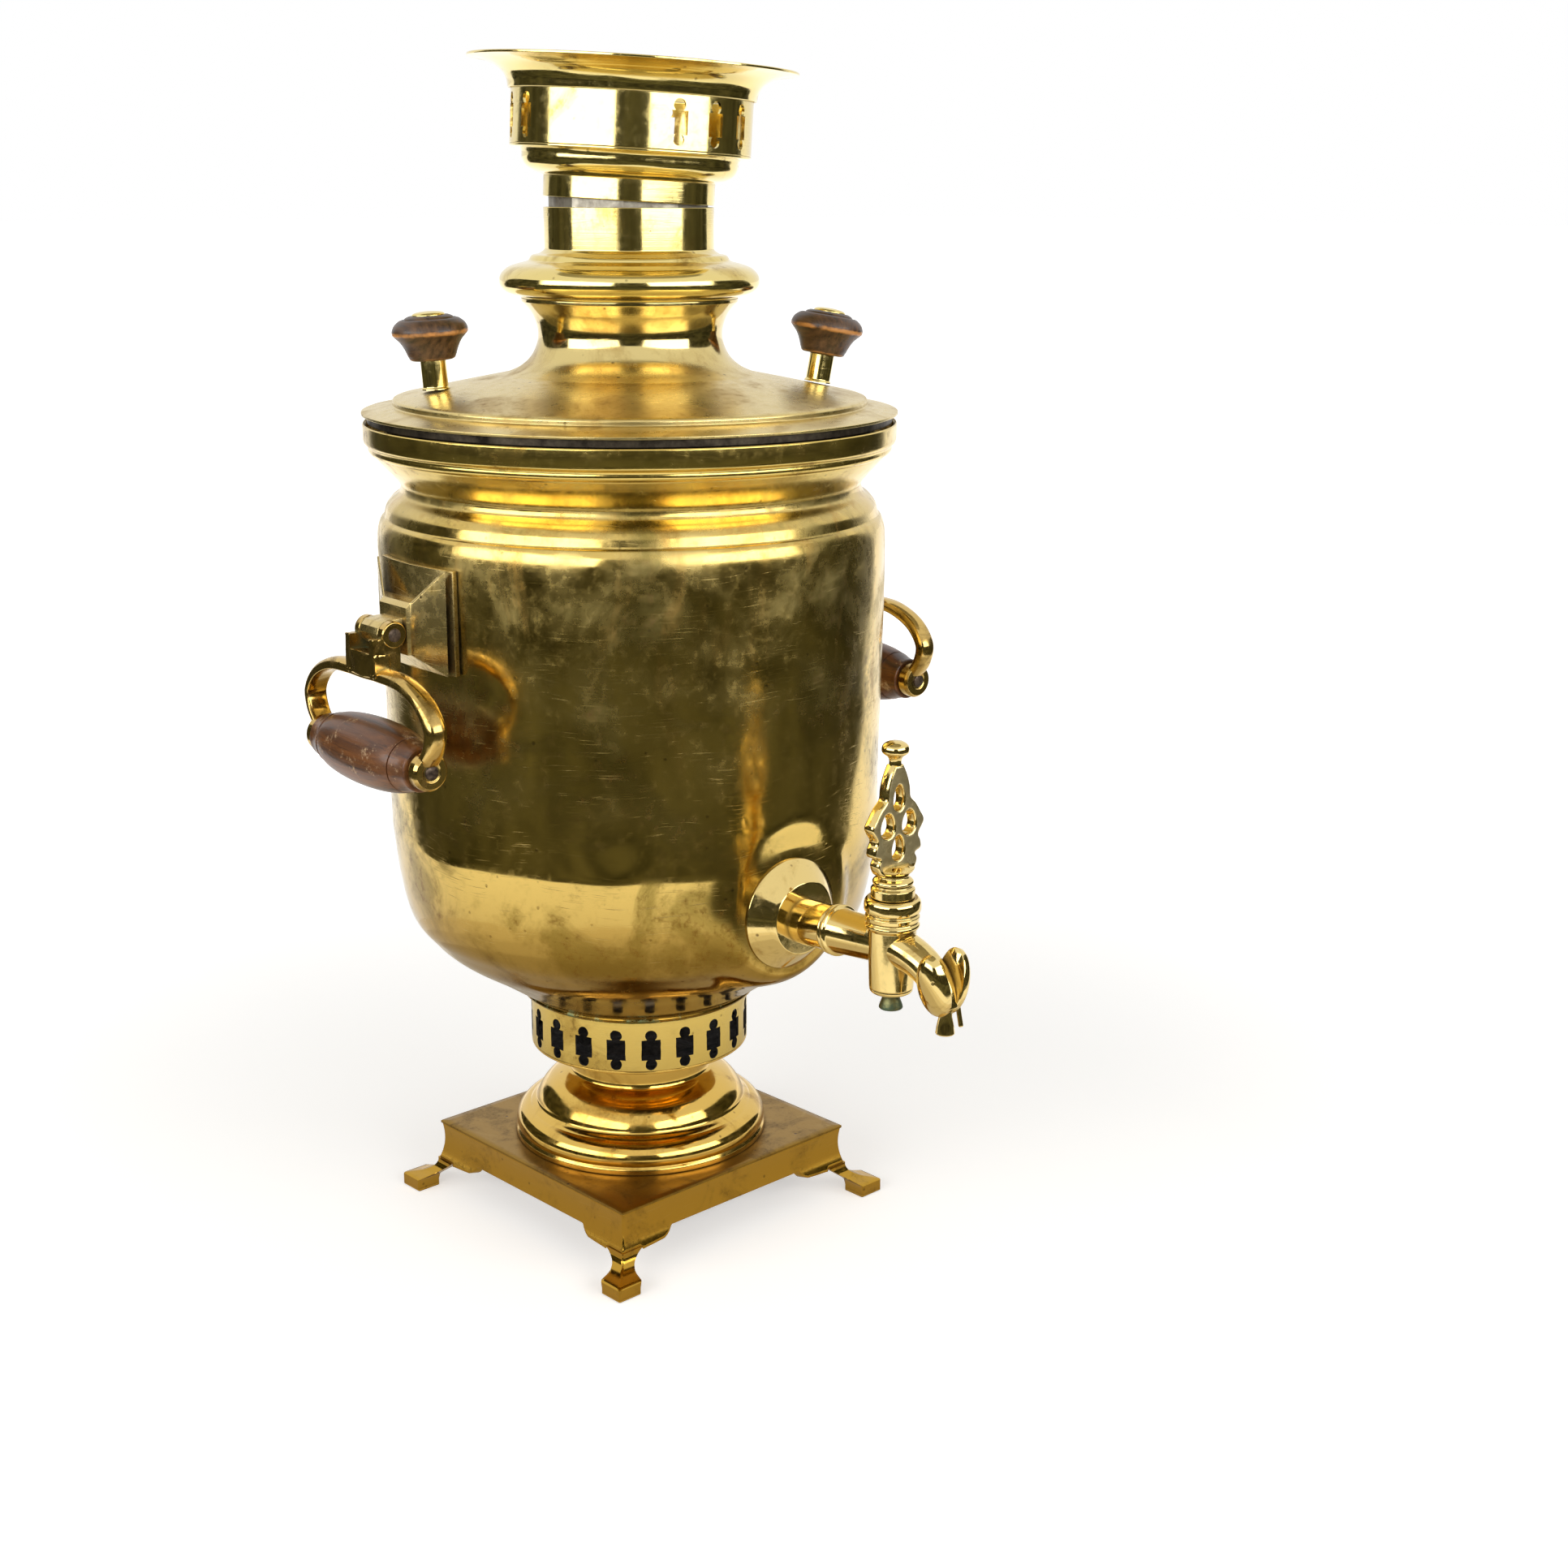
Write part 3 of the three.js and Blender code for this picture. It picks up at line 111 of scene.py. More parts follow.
def eased(loop, radius=0.35, least_turn=22.0, closed=True):
    """Every corner sharper than least_turn degrees becomes a small arc, a parabola between two
    points at equal distance from the corner, with one more point before and after it."""
    p = np.asarray(loop, float)
    before, after = np.roll(p, 1, 0), np.roll(p, -1, 0)
    if not closed:
        before[0], after[-1] = p[0] - (p[1] - p[0]), p[-1] + (p[-1] - p[-2])
    back, on = before - p, after - p
    len_back = np.maximum(np.linalg.norm(back, axis=1), 1e-9)
    len_on = np.maximum(np.linalg.norm(on, axis=1), 1e-9)
    turn = np.arccos(np.clip(-(back * on).sum(1) / len_back / len_on, -1, 1))
    cut = np.where(np.degrees(turn) > least_turn, radius, 0.0)
    cut = np.minimum(cut, 0.3 * np.minimum(len_back, len_on))[:, None]
    start, end = p + back / len_back[:, None] * cut, p + on / len_on[:, None] * cut
    t = np.linspace(0, 1, 5)[:, None, None]
    arc = (1 - t) ** 2 * start + 2 * t * (1 - t) * p + t * t * end
    lead, tail = p + (start - p) * LEAD, p + (end - p) * LEAD
    every = np.concatenate([lead[None], arc, tail[None]]).transpose(1, 0, 2).reshape(-1, 2)
    keep = np.linalg.norm(every - np.roll(every, 1, 0), axis=1) > LEAST_STEP
    keep[0] = True
    return every[keep]


def finer(loop, spacing, closed=True):
    """Long straight stretches get points in between, no further apart than the spacing."""
    p = np.asarray(loop, float)
    ring = np.concatenate([p, p[:1]]) if closed else p
    along = np.concatenate([[0], np.cumsum(np.linalg.norm(np.diff(ring, axis=0), axis=1))])
    count = np.maximum(np.ceil(np.diff(along) / spacing).astype(int), 1)
    starts = np.repeat(along[:-1], count)
    order = np.arange(count.sum()) - np.repeat(np.cumsum(count) - count, count)
    at = starts + np.repeat(np.diff(along), count) * order / np.repeat(count, count)
    if not closed:
        at = np.append(at, along[-1])
    return np.stack([np.interp(at, along, ring[:, k]) for k in (0, 1)], 1)


print("a softened square has", len(eased([(0, 0), (4, 0), (4, 4), (0, 4)])), "points")

# %% [markdown]
# ## Surfaces on a grid
#
# A surface is a table of points, rows by columns. Neighbouring points make four-sided faces, and
# a row or column may close on itself. Where a turned shape meets its axis, all points of that
# place are merged into one, which closes the pole. A shell is such a table with its faces.

# %% Grids
def grid_faces(rows, columns, loop_rows=True, loop_columns=True):
    """Face (i, j) joins the points (i, j), (i, j+1), (i+1, j+1) and (i+1, j), counted round
    where the rows or columns close on themselves."""
    i = np.arange(rows if loop_rows else rows - 1)[:, None]
    j = np.arange(columns if loop_columns else columns - 1)[None, :]
    i1, j1 = (i + 1) % rows, (j + 1) % columns
    corners = [i * columns + j, i * columns + j1, i1 * columns + j1, i1 * columns + j]
    return np.stack(np.broadcast_arrays(*corners), -1).reshape(-1, 4).tolist()


def turned(loop, sides=192, closed=True):
    """Points of a turned shape: (r cos a, r sin a, z) for each outline point (r, z) and each of
    the equal steps of the angle a, with the faces between them."""
    a = np.linspace(0, 2 * np.pi, sides, endpoint=False)[:, None]
    r, z = np.asarray(loop, float).T
    points = np.stack([np.cos(a) * r, np.sin(a) * r, np.broadcast_to(z, (sides, len(r)))], -1)
    return points, grid_faces(sides, len(r), True, closed)


def solid_turned(outline, ease, sides):
    """A solid turned from an outline that starts and ends on the axis, its corners eased."""
    return turned(eased(outline, ease, closed=False), sides, closed=False)


def capped(points):
    """A tube of points closed at both ends: before the first column and after the last comes
    the middle of that column."""
    ends = [np.broadcast_to(points[:, k].mean(0), points[:, k].shape)[:, None] for k in (0, -1)]
    points = np.concatenate([ends[0], points, ends[1]], 1)
    return points, grid_faces(*points.shape[:2], True, False)


print("a turned square has", len(solid_turned([(0, 0), (4, 0), (4, 4), (0, 4)], 0.3, 12)[1]), "faces")

# %% [markdown]
# Some parts lean, lie on their side or point along the tap. Their points are worked out upright
# and then turned and carried, so that the object itself stays unturned at the origin.

# %% Turns and places
X, Y, Z = 0, 1, 2


def swing(points, degrees, first, second):
    """Turned from one axis toward another by an angle a: first cos a - second sin a, and
    first sin a + second cos a."""
    c, s = math.cos(math.radians(degrees)), math.sin(math.radians(degrees))
    swung = np.array(points, float)
    swung[..., first] = points[..., first] * c - points[..., second] * s
    swung[..., second] = points[..., first] * s + points[..., second] * c
    return swung


def quarter_turned(points, times):
    """Turned by right angles about the z axis: each time (x, y) becomes (-y, x)."""
    for _ in range(times):
        points = np.concatenate([-points[..., 1:2], points[..., :1], points[..., 2:]], -1)
    return points


def lying(points, x, z):
    """What was made about the z axis now lies along y, through (x, z)."""
    return np.stack([points[..., 0] + x, points[..., 2], points[..., 1] + z], -1)


def moved(shell, place):
    """The shell carried by a vector."""
    points, faces = shell
    return points + np.array(place, float), faces


print("x swung toward y by 90 degrees:", swing(np.array([1.0, 0.0, 0.0]), 90, X, Y).round(3))

# %% [markdown]
# ## Pieces
#
# Each finished piece rides on its body and stands for its solid, which is hidden. Its object stays
# at the origin, and its place is in its mesh.

# %% Meshes and pieces
MERGE = 2e-6  # metres: nearer points of a mesh become one


def placed(name, data):
    """A new object at the origin with this data."""
    made = bpy.data.objects.new(name, data)
    bpy.context.scene.collection.objects.link(made)
    return made


def positions(mesh):
    """The mesh's points in metres."""
    points = np.empty(len(mesh.vertices) * 3)
    mesh.vertices.foreach_get("co", points)
    return points.reshape(-1, 3)


def evaluated_mesh(item):
    """The mesh that the object's modifiers or its curve's settings give."""
    return bpy.data.meshes.new_from_object(item.evaluated_get(bpy.context.evaluated_depsgraph_get()))


def mesh_object(name, shells, sharp=None):
    """One object from closed shells, each a pair of points in millimetres from the body's axis
    and faces. Doubles are merged and faces turned outward."""
    points = np.concatenate([p.reshape(-1, 3) for p, _ in shells])
    starts = np.cumsum([0] + [p.size // 3 for p, _ in shells]).tolist()
    faces = [[k + first for k in face] for (_, table), first in zip(shells, starts) for face in table]
    mesh = bpy.data.meshes.new(name)
    mesh.from_pydata(points / 1000 + AXIS, [], faces)
    build = bmesh.new()
    build.from_mesh(mesh)
    bmesh.ops.remove_doubles(build, verts=build.verts, dist=MERGE)
    bmesh.ops.recalc_face_normals(build, faces=build.faces)
    for face in build.faces:
        face.smooth = True
    if sharp:
        for edge in build.edges:
            if len(edge.link_faces) == 2 and edge.calc_face_angle(0) > math.radians(sharp):
                edge.smooth = False
    build.to_mesh(mesh)
    build.free()
    return placed(name, mesh)


def dress(piece, body, slot, *nodes):
    """The piece moves with a body and stands for these solids, which are hidden. The slot is not used."""
    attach(piece, body)
    if nodes:
        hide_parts(*nodes)
    return piece


def brass_piece(name, body, node, shells, sharp=None):
    """A new piece on a body, standing for one solid."""
    return dress(mesh_object(name, shells, sharp), body, "brass", node)


# %% [markdown]
# A formula is a poor tool for cutting holes and for rounding the edges of flat plates, so the
# Boolean and Bevel modifiers do that. Their result is made plain mesh at once, so that nothing
# changes later.

# %% Modifiers
def settled(piece, sharp=None):
    """Applies the piece's modifiers to its mesh."""
    mesh = evaluated_mesh(piece)
    piece.modifiers.clear()
    piece.data = mesh
    for face in mesh.polygons:
        face.use_smooth = True
    if sharp:
        mesh.set_sharp_from_angle(angle=math.radians(sharp))
    return piece


def bevelled(piece, width, segments, degrees, sharp):
    """Edges that turn by more than so many degrees get a round of this width in metres."""
    bevel = piece.modifiers.new("eased edges", "BEVEL")
    bevel.width, bevel.segments = width, segments
    bevel.limit_method, bevel.angle_limit = "ANGLE", math.radians(degrees)
    return settled(piece, sharp)


print("solids to stand for:", len(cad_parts))

# %% [markdown]
# ## The tank
#
# The tank was raised from sheet brass and finished on a lathe: a goblet with a rounded belly, a
# nearly straight wall and a stepped shoulder. Long use left it faintly uneven, and that is what
# makes its reflections wave. Its outline is drawn first, lip, belly and shoulder,
# and the inner face follows it at the sheet's thickness.

# %% The tank's outline
THICK = 1.2  # mm: thickness of the spun and raised sheets
lip = smooth([(53.4, 104.8), (54.4, 105.8), (54.0, 107.2), (55.2, 108.0)], 9)
belly = smooth([(55.2, 108), (60.7, 111.6), (72.7, 119.8), (88.5, 130), (97, 138.4), (103.3, 147.4),
                (107.3, 164), (110, 188)], 70)
shoulder = smooth([(111.4, 306), (111.35, 315), (110.9, 320.5), (109.6, 324.3), (108.3, 325.6),
                   (107.8, 327.2), (106.9, 330.2), (104.4, 333.4), (101.6, 335.6), (100.7, 337.4),
                   (100.5, 339)], 44)
tank_outer = np.concatenate([lip, belly[1:], shoulder])
tank_inner = inset(np.concatenate([belly[6:], shoulder]), THICK)[::-1]
tank_loop = np.concatenate([[(48.8, 104.8)], tank_outer, tank_inner, [(48.8, 106)]])
tank_points, tank_faces = turned(finer(eased(tank_loop, 0.4), 3.0), 270)
print("tank grid:", tank_points.shape[:2])

# %% [markdown]
# A turned outline alone looks too perfect. Bump in a material would bend the reflections but not
# the silhouette, so the wall itself is moved by long waves and shallow dents. Round the tap it was
# beaten into a flat pad, so that the tap's shield can seat. Waves and dents are functions of the
# angle and the height, and the pad is one of the distance from its middle.

# %% The tank's wall
WAVES, TANK_RADIUS = 26, 108
DENTS = [(-2.30, 206, 9, -0.9), (-1.05, 262, 13, -0.6), (-1.9, 290, 18, -0.5), (0.6, 240, 16, -0.7),
         (2.2, 200, 14, -0.8), (-0.75, 216, 9, -0.35), (-2.62, 250, 12, -0.5), (1.4, 282, 12, -0.5)]
PAD = (107.8, 166.4, 27.0, 41.5)  # the pad's distance from the axis, height, flat and whole radius


def ripple(a, z, seed, around, along, height):
    """A gentle unevenness of hand-raised sheet: the sum of waves with whole numbers of periods
    round the body (up to around) and wavelengths up the wall (from along mm), of random phase."""
    rng = np.random.default_rng(seed)
    total = np.zeros(np.broadcast(a, z).shape)
    for _ in range(WAVES):
        n = rng.integers(1, around + 1)
        k = 2 * np.pi / rng.uniform(along, 3.5 * along) * rng.choice([-1, 1])
        total += np.cos(n * a + k * z + rng.uniform(0, 2 * np.pi)) / WAVES**0.5
    return height * total


def shape_wall(points):
    """The wall moved out by the ripple, which is calm near the foot and the shoulder, pressed in
    at a few dents (a bell curve each, of angle, height, width and depth), and drawn to the pad's
    plane by a weight that falls from 1 to 0 between the pad's two radii."""
    x, y, z = points[..., 0], points[..., 1], points[..., 2]
    r, a = np.hypot(x, y), np.arctan2(y, x)
    calm = np.clip((z - 112) / 20, 0, 1) * np.clip((318 - z) / 30, 0, 1)
    move = calm * (ripple(a, z, 3, 9, 60, 0.17) + ripple(a, z, 8, 26, 26, 0.035))
    for angle, height, wide, deep in DENTS:
        turn = np.angle(np.exp(1j * (a - angle))) * TANK_RADIUS
        move = move + deep * np.exp(-(turn**2 + (z - height) ** 2) / (2 * wide**2))
    grown = (r + move) / np.maximum(r, 1e-6)
    x, y = x * grown, y * grown
    plane, middle, flat, whole = PAD
    away = np.hypot(x, z - middle)
    w = np.clip((whole - away) / (whole - flat), 0, 1)
    w = w * w * (3 - 2 * w) * (y < -60)
    outside = r > np.interp(z, tank_outer[:, 1], tank_outer[:, 0]) - THICK / 2
    front = np.where(outside, plane, plane - THICK)
    return np.stack([x, y + w * (-front - y), z], -1)


tank = brass_piece("tank_wall", "samovar_body", "tank_shell", [(shape_wall(tank_points), tank_faces)])
print("tank faces:", len(tank.data.polygons))

# %% [markdown]
# ## Collar, lid and neck
#
# The collar flares out above the shoulder to a rolled rim, and the lid stands on a tinned band
# just above it. The lid, its waisted neck, the bead and the plain pipe were spun as separate
# sheets and soldered, so each is its own piece and a fine seam shows where they meet.

# %% Collar
collar_outer = np.concatenate([
    smooth([(100.5, 339), (101.7, 341.3), (104.2, 344.2), (107.6, 347.8), (109.9, 350.4),
            (111.0, 351.6)], 18),
    smooth([(111.4, 352.2), (112.9, 352.9), (113.7, 354.2), (113.6, 355.4)], 8),
    [(113.9, 356.2), (115.3, 357.3), (115.7, 358.7), (115.7, 365.0), (115.3, 365.6)]])
collar_shell = turned(eased(sheet(collar_outer, 1.3), 0.45), 256)
collar = brass_piece("collar_sheet", "samovar_body", "collar_ring", [collar_shell])
print("collar faces:", len(collar.data.polygons))

# %% [markdown]
# The lid is a flange, a nearly flat cone and a throat that narrows before the neck. Of the cone
# and the throat only the outer face is drawn, and the inner one follows at the sheet's thickness.

# %% Lid
throat = smooth([(54.4, 385.4), (47.5, 388.6), (42.2, 394), (39.8, 402.2), (42, 410.4), (46.6, 416)],
                36)
cone = smooth([(101.0, 375.9), (86, 379.0), (70, 382.3), (54.4, 385.4)], 20)
lid_loop = np.concatenate([
    [(116, 369), (116, 370.1)], smooth([(115.4, 370.3), (109, 371.6), (103.2, 372.6)], 6),
    [(102.6, 373), (102.6, 374.6), (102.2, 375.4)], cone, throat[1:], [(46.6, 417.5), (45.4, 417.5)],
    inset(throat, THICK)[::-1], inset(cone, THICK)[::-1], [(101.4, 373.4), (101.4, 369)]])
lid_sheet = brass_piece("lid_sheet", "lid", "lid_cover", [turned(eased(lid_loop, 0.4), 256)])
print("lid faces:", len(lid_sheet.data.polygons))

# %% [markdown]
# The neck swells into one bead and ends in a plain pipe just under the crown. Below the lid a band
# of tinned iron drops into the mouth and keeps the lid in its place.

# %% Neck and tinned band
neck_loop = np.concatenate([
    [(46.6, 417.5), (47.0, 418.1)],
    smooth([(48.4, 418.3), (52.8, 419.7), (55.3, 422.2), (55.8, 424.8), (54.9, 427.6), (52, 430.2),
            (48.2, 431.6), (46.2, 432.1)], 30),
    smooth([(45.4, 432.3), (43.2, 433.0), (42.5, 434.2), (41.4, 435.3), (38.6, 435.9), (36.9, 437)],
           16),
    [(36.3, 437.6), (36.3, 455), (35.1, 455), (35.1, 438)],
    smooth([(42, 431), (50.5, 428), (53.2, 424.6), (50.5, 421), (46, 419.4)], 20), [(45.4, 417.5)]])
neck = brass_piece("neck_and_bead", "lid", "lid_neck", [turned(eased(neck_loop, 0.3), 224)])

band_loop = [(104.4, 352), (104.4, 365.6), (113.6, 365.6), (113.6, 369), (103.2, 369), (103.2, 352)]
band = mesh_object("tinned_band", [turned(eased(band_loop, 0.4), 224)])
dress(band, "lid", "tinned_iron", "lid_skirt")
print("neck and band faces:", [len(o.data.polygons) for o in (neck, band)])

# %% [markdown]
# ## Pierced rings
#
# Air reaches the fire through keyholes in the draught ring, and the crown has the same holes so
# that the teapot doesn't smother it. They were punched and then cleaned with a file, so their
# edges are a little ragged. Each cutter is a keyhole outline pushed outward through the wall, and
# the Boolean modifier takes them all away at once.

# %% Keyholes
PROUD = 0.75  # how far a round hole's middle stands from the slot's end, in radii


def keyhole(width, low, high, head, tail, seed):
    """A square-shouldered slot between two round holes, the upper head mm high and the lower tail
    mm: each is the part of a circle that stands 1.75 radii proud of the slot. Every point is moved
    by a small random amount, as a file leaves it."""
    rng = np.random.default_rng(seed)
    half, top, foot = width / 2, high - head, low + tail
    open_angle = math.asin(PROUD)
    turn = np.linspace(-open_angle, np.pi + open_angle, 13)
    above, below = head / (1 + PROUD), tail / (1 + PROUD)
    head_arc = np.stack([above * np.cos(turn), top + above * (PROUD + np.sin(turn))], 1)
    tail_arc = np.stack([-below * np.cos(turn), foot - below * (PROUD + np.sin(turn))], 1)
    side = np.linspace(foot, top, 6)[1:-1]
    right = np.stack([np.full(4, half), side], 1)
    outline = np.concatenate([
        [(half, foot)], right, [(half, top)], head_arc, [(-half, top)],
        right[::-1] * (-1, 1), [(-half, foot)], tail_arc])
    return outline + rng.normal(0, 0.07, outline.shape)


def cutters(holes, reach):
    """One closed prism for each pair of outline and angle, from 0.8 reach out to 1.2 reach."""
    shells = []
    for outline, degrees in holes:
        n = len(outline)
        a = math.radians(degrees)
        out, side = np.array([math.sin(a), -math.cos(a), 0]), np.array([math.cos(a), math.sin(a), 0])
        flat = outline[:, :1] * side + outline[:, 1:] * np.array([0, 0, 1])
        points = np.concatenate([flat + 0.8 * reach * out, flat + 1.2 * reach * out])
        walls = [[k, (k + 1) % n, n + (k + 1) % n, n + k] for k in range(n)]
        shells.append((points, walls + [list(range(n))[::-1], list(range(n, 2 * n))]))
    return shells


def pierced(name, loop, holes, reach):
    """A turned ring with its keyholes cut."""
    ring = mesh_object(name, [turned(finer(loop, 5), 240)])
    tool = mesh_object(name + "_tool", cutters(holes, reach))
    cut = ring.modifiers.new("keyholes", "BOOLEAN")
    cut.object, cut.operation, cut.solver = tool, "DIFFERENCE", "EXACT"
    settled(ring, 30)
    bpy.data.objects.remove(tool)
    return ring


print("a keyhole has", len(keyhole(8.6, 80.9, 99.9, 4.7, 4.7, 0)), "points")

# %% [markdown]
# Twenty keyholes stand evenly round the draught ring, 18 degrees apart. The ring gets points every
# few millimetres first, so that the cut faces stay small and the curve stays smooth.

# %% Draught ring
ring_loop = eased([(49.1, 80.2), (50.3, 80.2), (50.3, 103.6), (49.1, 103.6)], 0.35)
FIRST_HOLE, HOLE_STEP = 5.2, 18  # degrees
ring_holes = [(keyhole(8.6, 80.9, 99.9, 4.7, 4.7, k), FIRST_HOLE + HOLE_STEP * k) for k in range(20)]
draught = pierced("draught_band", ring_loop, ring_holes, 50.3)
dress(draught, "samovar_body", "brass", "draught_ring")
print("draught band faces:", len(draught.data.polygons))

# %% [markdown]
# ## The crown
#
# The crown holds the teapot over the fire's warmth. It is a sleeve and a bowl, the pierced band
# and a trumpet rim. It stands loosely on the pipe, so it leans by three degrees to one side of
# the camera's view, and every point of its three pieces is turned about a level line at its foot.

# %% The crown's lean
CAMERA_TURN = -36.5  # degrees from the tap's side to the camera's
CROWN_LEAN, CROWN_FOOT = 3, np.array([0, 0, 457.6])


def leaning(points):
    """Turned about the level line through the foot, so that what is above it moves over."""
    level = swing(points - CROWN_FOOT, -CAMERA_TURN, X, Y)
    return swing(swing(level, CROWN_LEAN, Z, X), CAMERA_TURN, X, Y) + CROWN_FOOT


def lean_object(piece):
    """The same turn for the points of a finished mesh."""
    local = (positions(piece.data) - AXIS) * 1000
    piece.data.vertices.foreach_set("co", (leaning(local) / 1000 + AXIS).ravel())
    piece.data.update()
    return piece


print("a point 50 mm up the crown leans to", leaning(np.array([0, 0, 507.6])).round(2))

# %% [markdown]
# The bowl widens from the sleeve to the band, whose nine keyholes stand in three groups of three,
# and the teapot rests on the trumpet rim. The pieces are turned upright and leaned last.

# %% Crown
bowl = smooth([(36.4, 466.4), (37.4, 466.9), (40.6, 467.7), (43.9, 469.6), (45.6, 472.4),
               (45.9, 475.4), (46.6, 476.8)], 26)
seat_loop = np.concatenate([
    [(36.4, 457.6)], bowl, [(50.6, 477.2), (51, 477.6), (51, 478.4), (44.6, 478.4)],
    inset(bowl, THICK)[::-1][1:-4], [(35.1, 464), (35.1, 457.6)]])
seat_points, seat_faces = turned(eased(seat_loop, 0.3), 192)
seat = brass_piece("crown_bowl", "crown", "crown_seat", [(leaning(seat_points), seat_faces)])

group_turns = [-14.5 + 120 * group + 20 * hole for group in range(3) for hole in range(3)]
band_holes = [(keyhole(7.6, 480.3, 498.7, 4.7, 4.3, 40 + k), turn) for k, turn in enumerate(group_turns)]
band_loop = eased([(49.8, 478.4), (51, 478.4), (51, 500.5), (49.8, 500.5)], 0.3)
crown_ring = pierced("crown_ring", band_loop, band_holes, 51)
dress(lean_object(crown_ring), "crown", "brass", "crown_band")

trumpet = np.concatenate([
    [(52.2, 500.5), (52.4, 501.3)],
    smooth([(52.5, 502), (53.0, 504.2), (54.6, 506.8), (58.0, 509.4), (63.2, 511.2), (68.6, 512.0)],
           26),
    [(69.6, 512.05)]])
rim_points, rim_faces = turned(eased(sheet(trumpet, 1.1), 0.4), 224)
rim = brass_piece("crown_trumpet", "crown", "crown_rim", [(leaning(rim_points), rim_faces)])
print("crown:", [len(o.data.polygons) for o in (seat, crown_ring, rim)])

# %% [markdown]
# ## Pedestal and plinth
#
# The pedestal is one casting turned bright: a ring, a torus, a bell, a neck and the flange that
# carries the draught ring. Below it the plinth is a flat plate on a hollow-faced skirt, whose
# lower edge drops in ogee brackets to four cast feet. The skirt is a surface of two parameters,
# the way round its square and the way down its face.

# %% Pedestal
pedestal_loop = np.concatenate([
    [(58.8, 33.5), (58.8, 35.9)],
    smooth([(57.9, 37.2), (58.4, 39.2), (57.9, 42), (56.3, 44.6), (54.0, 46.4), (51.8, 47.2)], 22),
    smooth([(51.0, 47.9), (48.8, 49.4), (47.8, 52), (45.7, 55.6), (41.9, 59.6), (37.2, 62.2),
            (33.6, 63.6)], 30),
    smooth([(32.6, 64.4), (32.0, 66.2), (32.0, 70), (32.0, 74), (33.2, 77.8), (34.6, 79)], 16),
    [(50.3, 79), (50.3, 80.2), (30.8, 80.2)],
    smooth([(30.8, 66), (36, 61.4), (42, 57), (46, 50.8), (47.6, 47)], 14), [(55, 38), (55.2, 33.5)]])
pedestal_shell = turned(eased(pedestal_loop, 0.4), 224)
pedestal = brass_piece("turned_foot", "samovar_body", "pedestal", [pedestal_shell])
print("pedestal faces:", len(pedestal.data.polygons))

# %% [markdown]
# The plinth's parts are square in plan with soft corners, and the whole plinth stands turned a
# little against the tap. One function gives the points round such a square, and a cube with a bevel
# would leave no even points along the sides for the brackets to follow.

# %% Squares with rounded corners
PLINTH_TURN = 3.4  # degrees by which the plinth stands turned against the tap's line


def around_square(half, corner, across):
    """Points round a square with rounded corners: each side runs from -half to half, given as
    shares across, and the corner points lie on a quarter circle."""
    reach = half - corner
    side = np.stack([np.full(len(across), half), across * reach], 1)
    a = np.linspace(0, np.pi / 2, 6)[1:-1]
    arc = np.stack([reach + corner * np.cos(a), reach + corner * np.sin(a)], 1)
    one = np.concatenate([side, arc])
    return np.concatenate([quarter_turned(one, k) for k in range(4)])


def on_plinth(points):
    """A closed surface turned with the plinth, and its faces."""
    return swing(points, PLINTH_TURN, X, Y), grid_faces(*points.shape[:2])


print("a square of three shares has", len(around_square(5, 1, np.linspace(-1, 1, 3))), "points")

# %% [markdown]
# The skirt's face is hollow and its lower edge is cut in brackets. Booleans could carve that edge
# from a box, but a surface whose last row follows the brackets' outline needs no cutting.

# %% Skirt
SKIRT_HALF, SKIRT_TOP, SKIRT_WALL = 67.2, 32.1, 2.4
near_corner = np.linspace(0.55, 1, 40)
ACROSS = np.unique(np.concatenate([np.linspace(-1, 1, 61), near_corner, -near_corner]))
BRACKET_X = [0, 39.4, 40.2, 41.6, 43.6, 48.8, 53.8, 56.2, 56.8, 68]
BRACKET_Z = [18.3, 18.3, 16.6, 15.0, 13.9, 13.5, 13.25, 13.0, 14.6, 14.6]
HOLLOW = [(SKIRT_TOP, 0), (27.3, -0.57), (22.5, -0.48), (17.7, 0.38), (12.9, 1.9)]  # height, out


def skirt_shell():
    """Height runs from the plate down to the bracket outline; the face stands out from the square
    by a hollow curve of the height; the inner face is a plain square 2.4 mm in."""
    plan = around_square(SKIRT_HALF, 0.7, ACROSS)
    from_corner = np.minimum(np.abs(plan[:, 0]), np.abs(plan[:, 1]))
    bottom = np.interp(from_corner, BRACKET_X, BRACKET_Z)
    z = SKIRT_TOP + (bottom[:, None] - SKIRT_TOP) * np.linspace(0, 1, 15)
    curve = smooth(HOLLOW, 40)
    out = np.interp(-z, -curve[:, 0], curve[:, 1])
    outer = plan[:, None, :] * ((SKIRT_HALF + out) / SKIRT_HALF)[..., None]
    inner = plan[:, None, :] * np.full_like(z, (SKIRT_HALF - SKIRT_WALL) / SKIRT_HALF)[..., None]
    return on_plinth(np.concatenate([np.dstack([outer, z]), np.dstack([inner, z])[:, ::-1]], 1))


skirt = bevelled(mesh_object("hollow_skirt", [skirt_shell()], 35), 0.0003, 2, 40, 50)
dress(skirt, "samovar_body", "brass", "plinth_skirt")
print("skirt faces:", len(skirt.data.polygons))

# %% [markdown]
# The plate is a square sheet with a round hole for the ash. Rings of points blend from the circle
# to the square, so that the faces fan out evenly and no long slivers catch the light.

# %% Plate
PLATE_HALF, ASH_HOLE = 67.7, 44


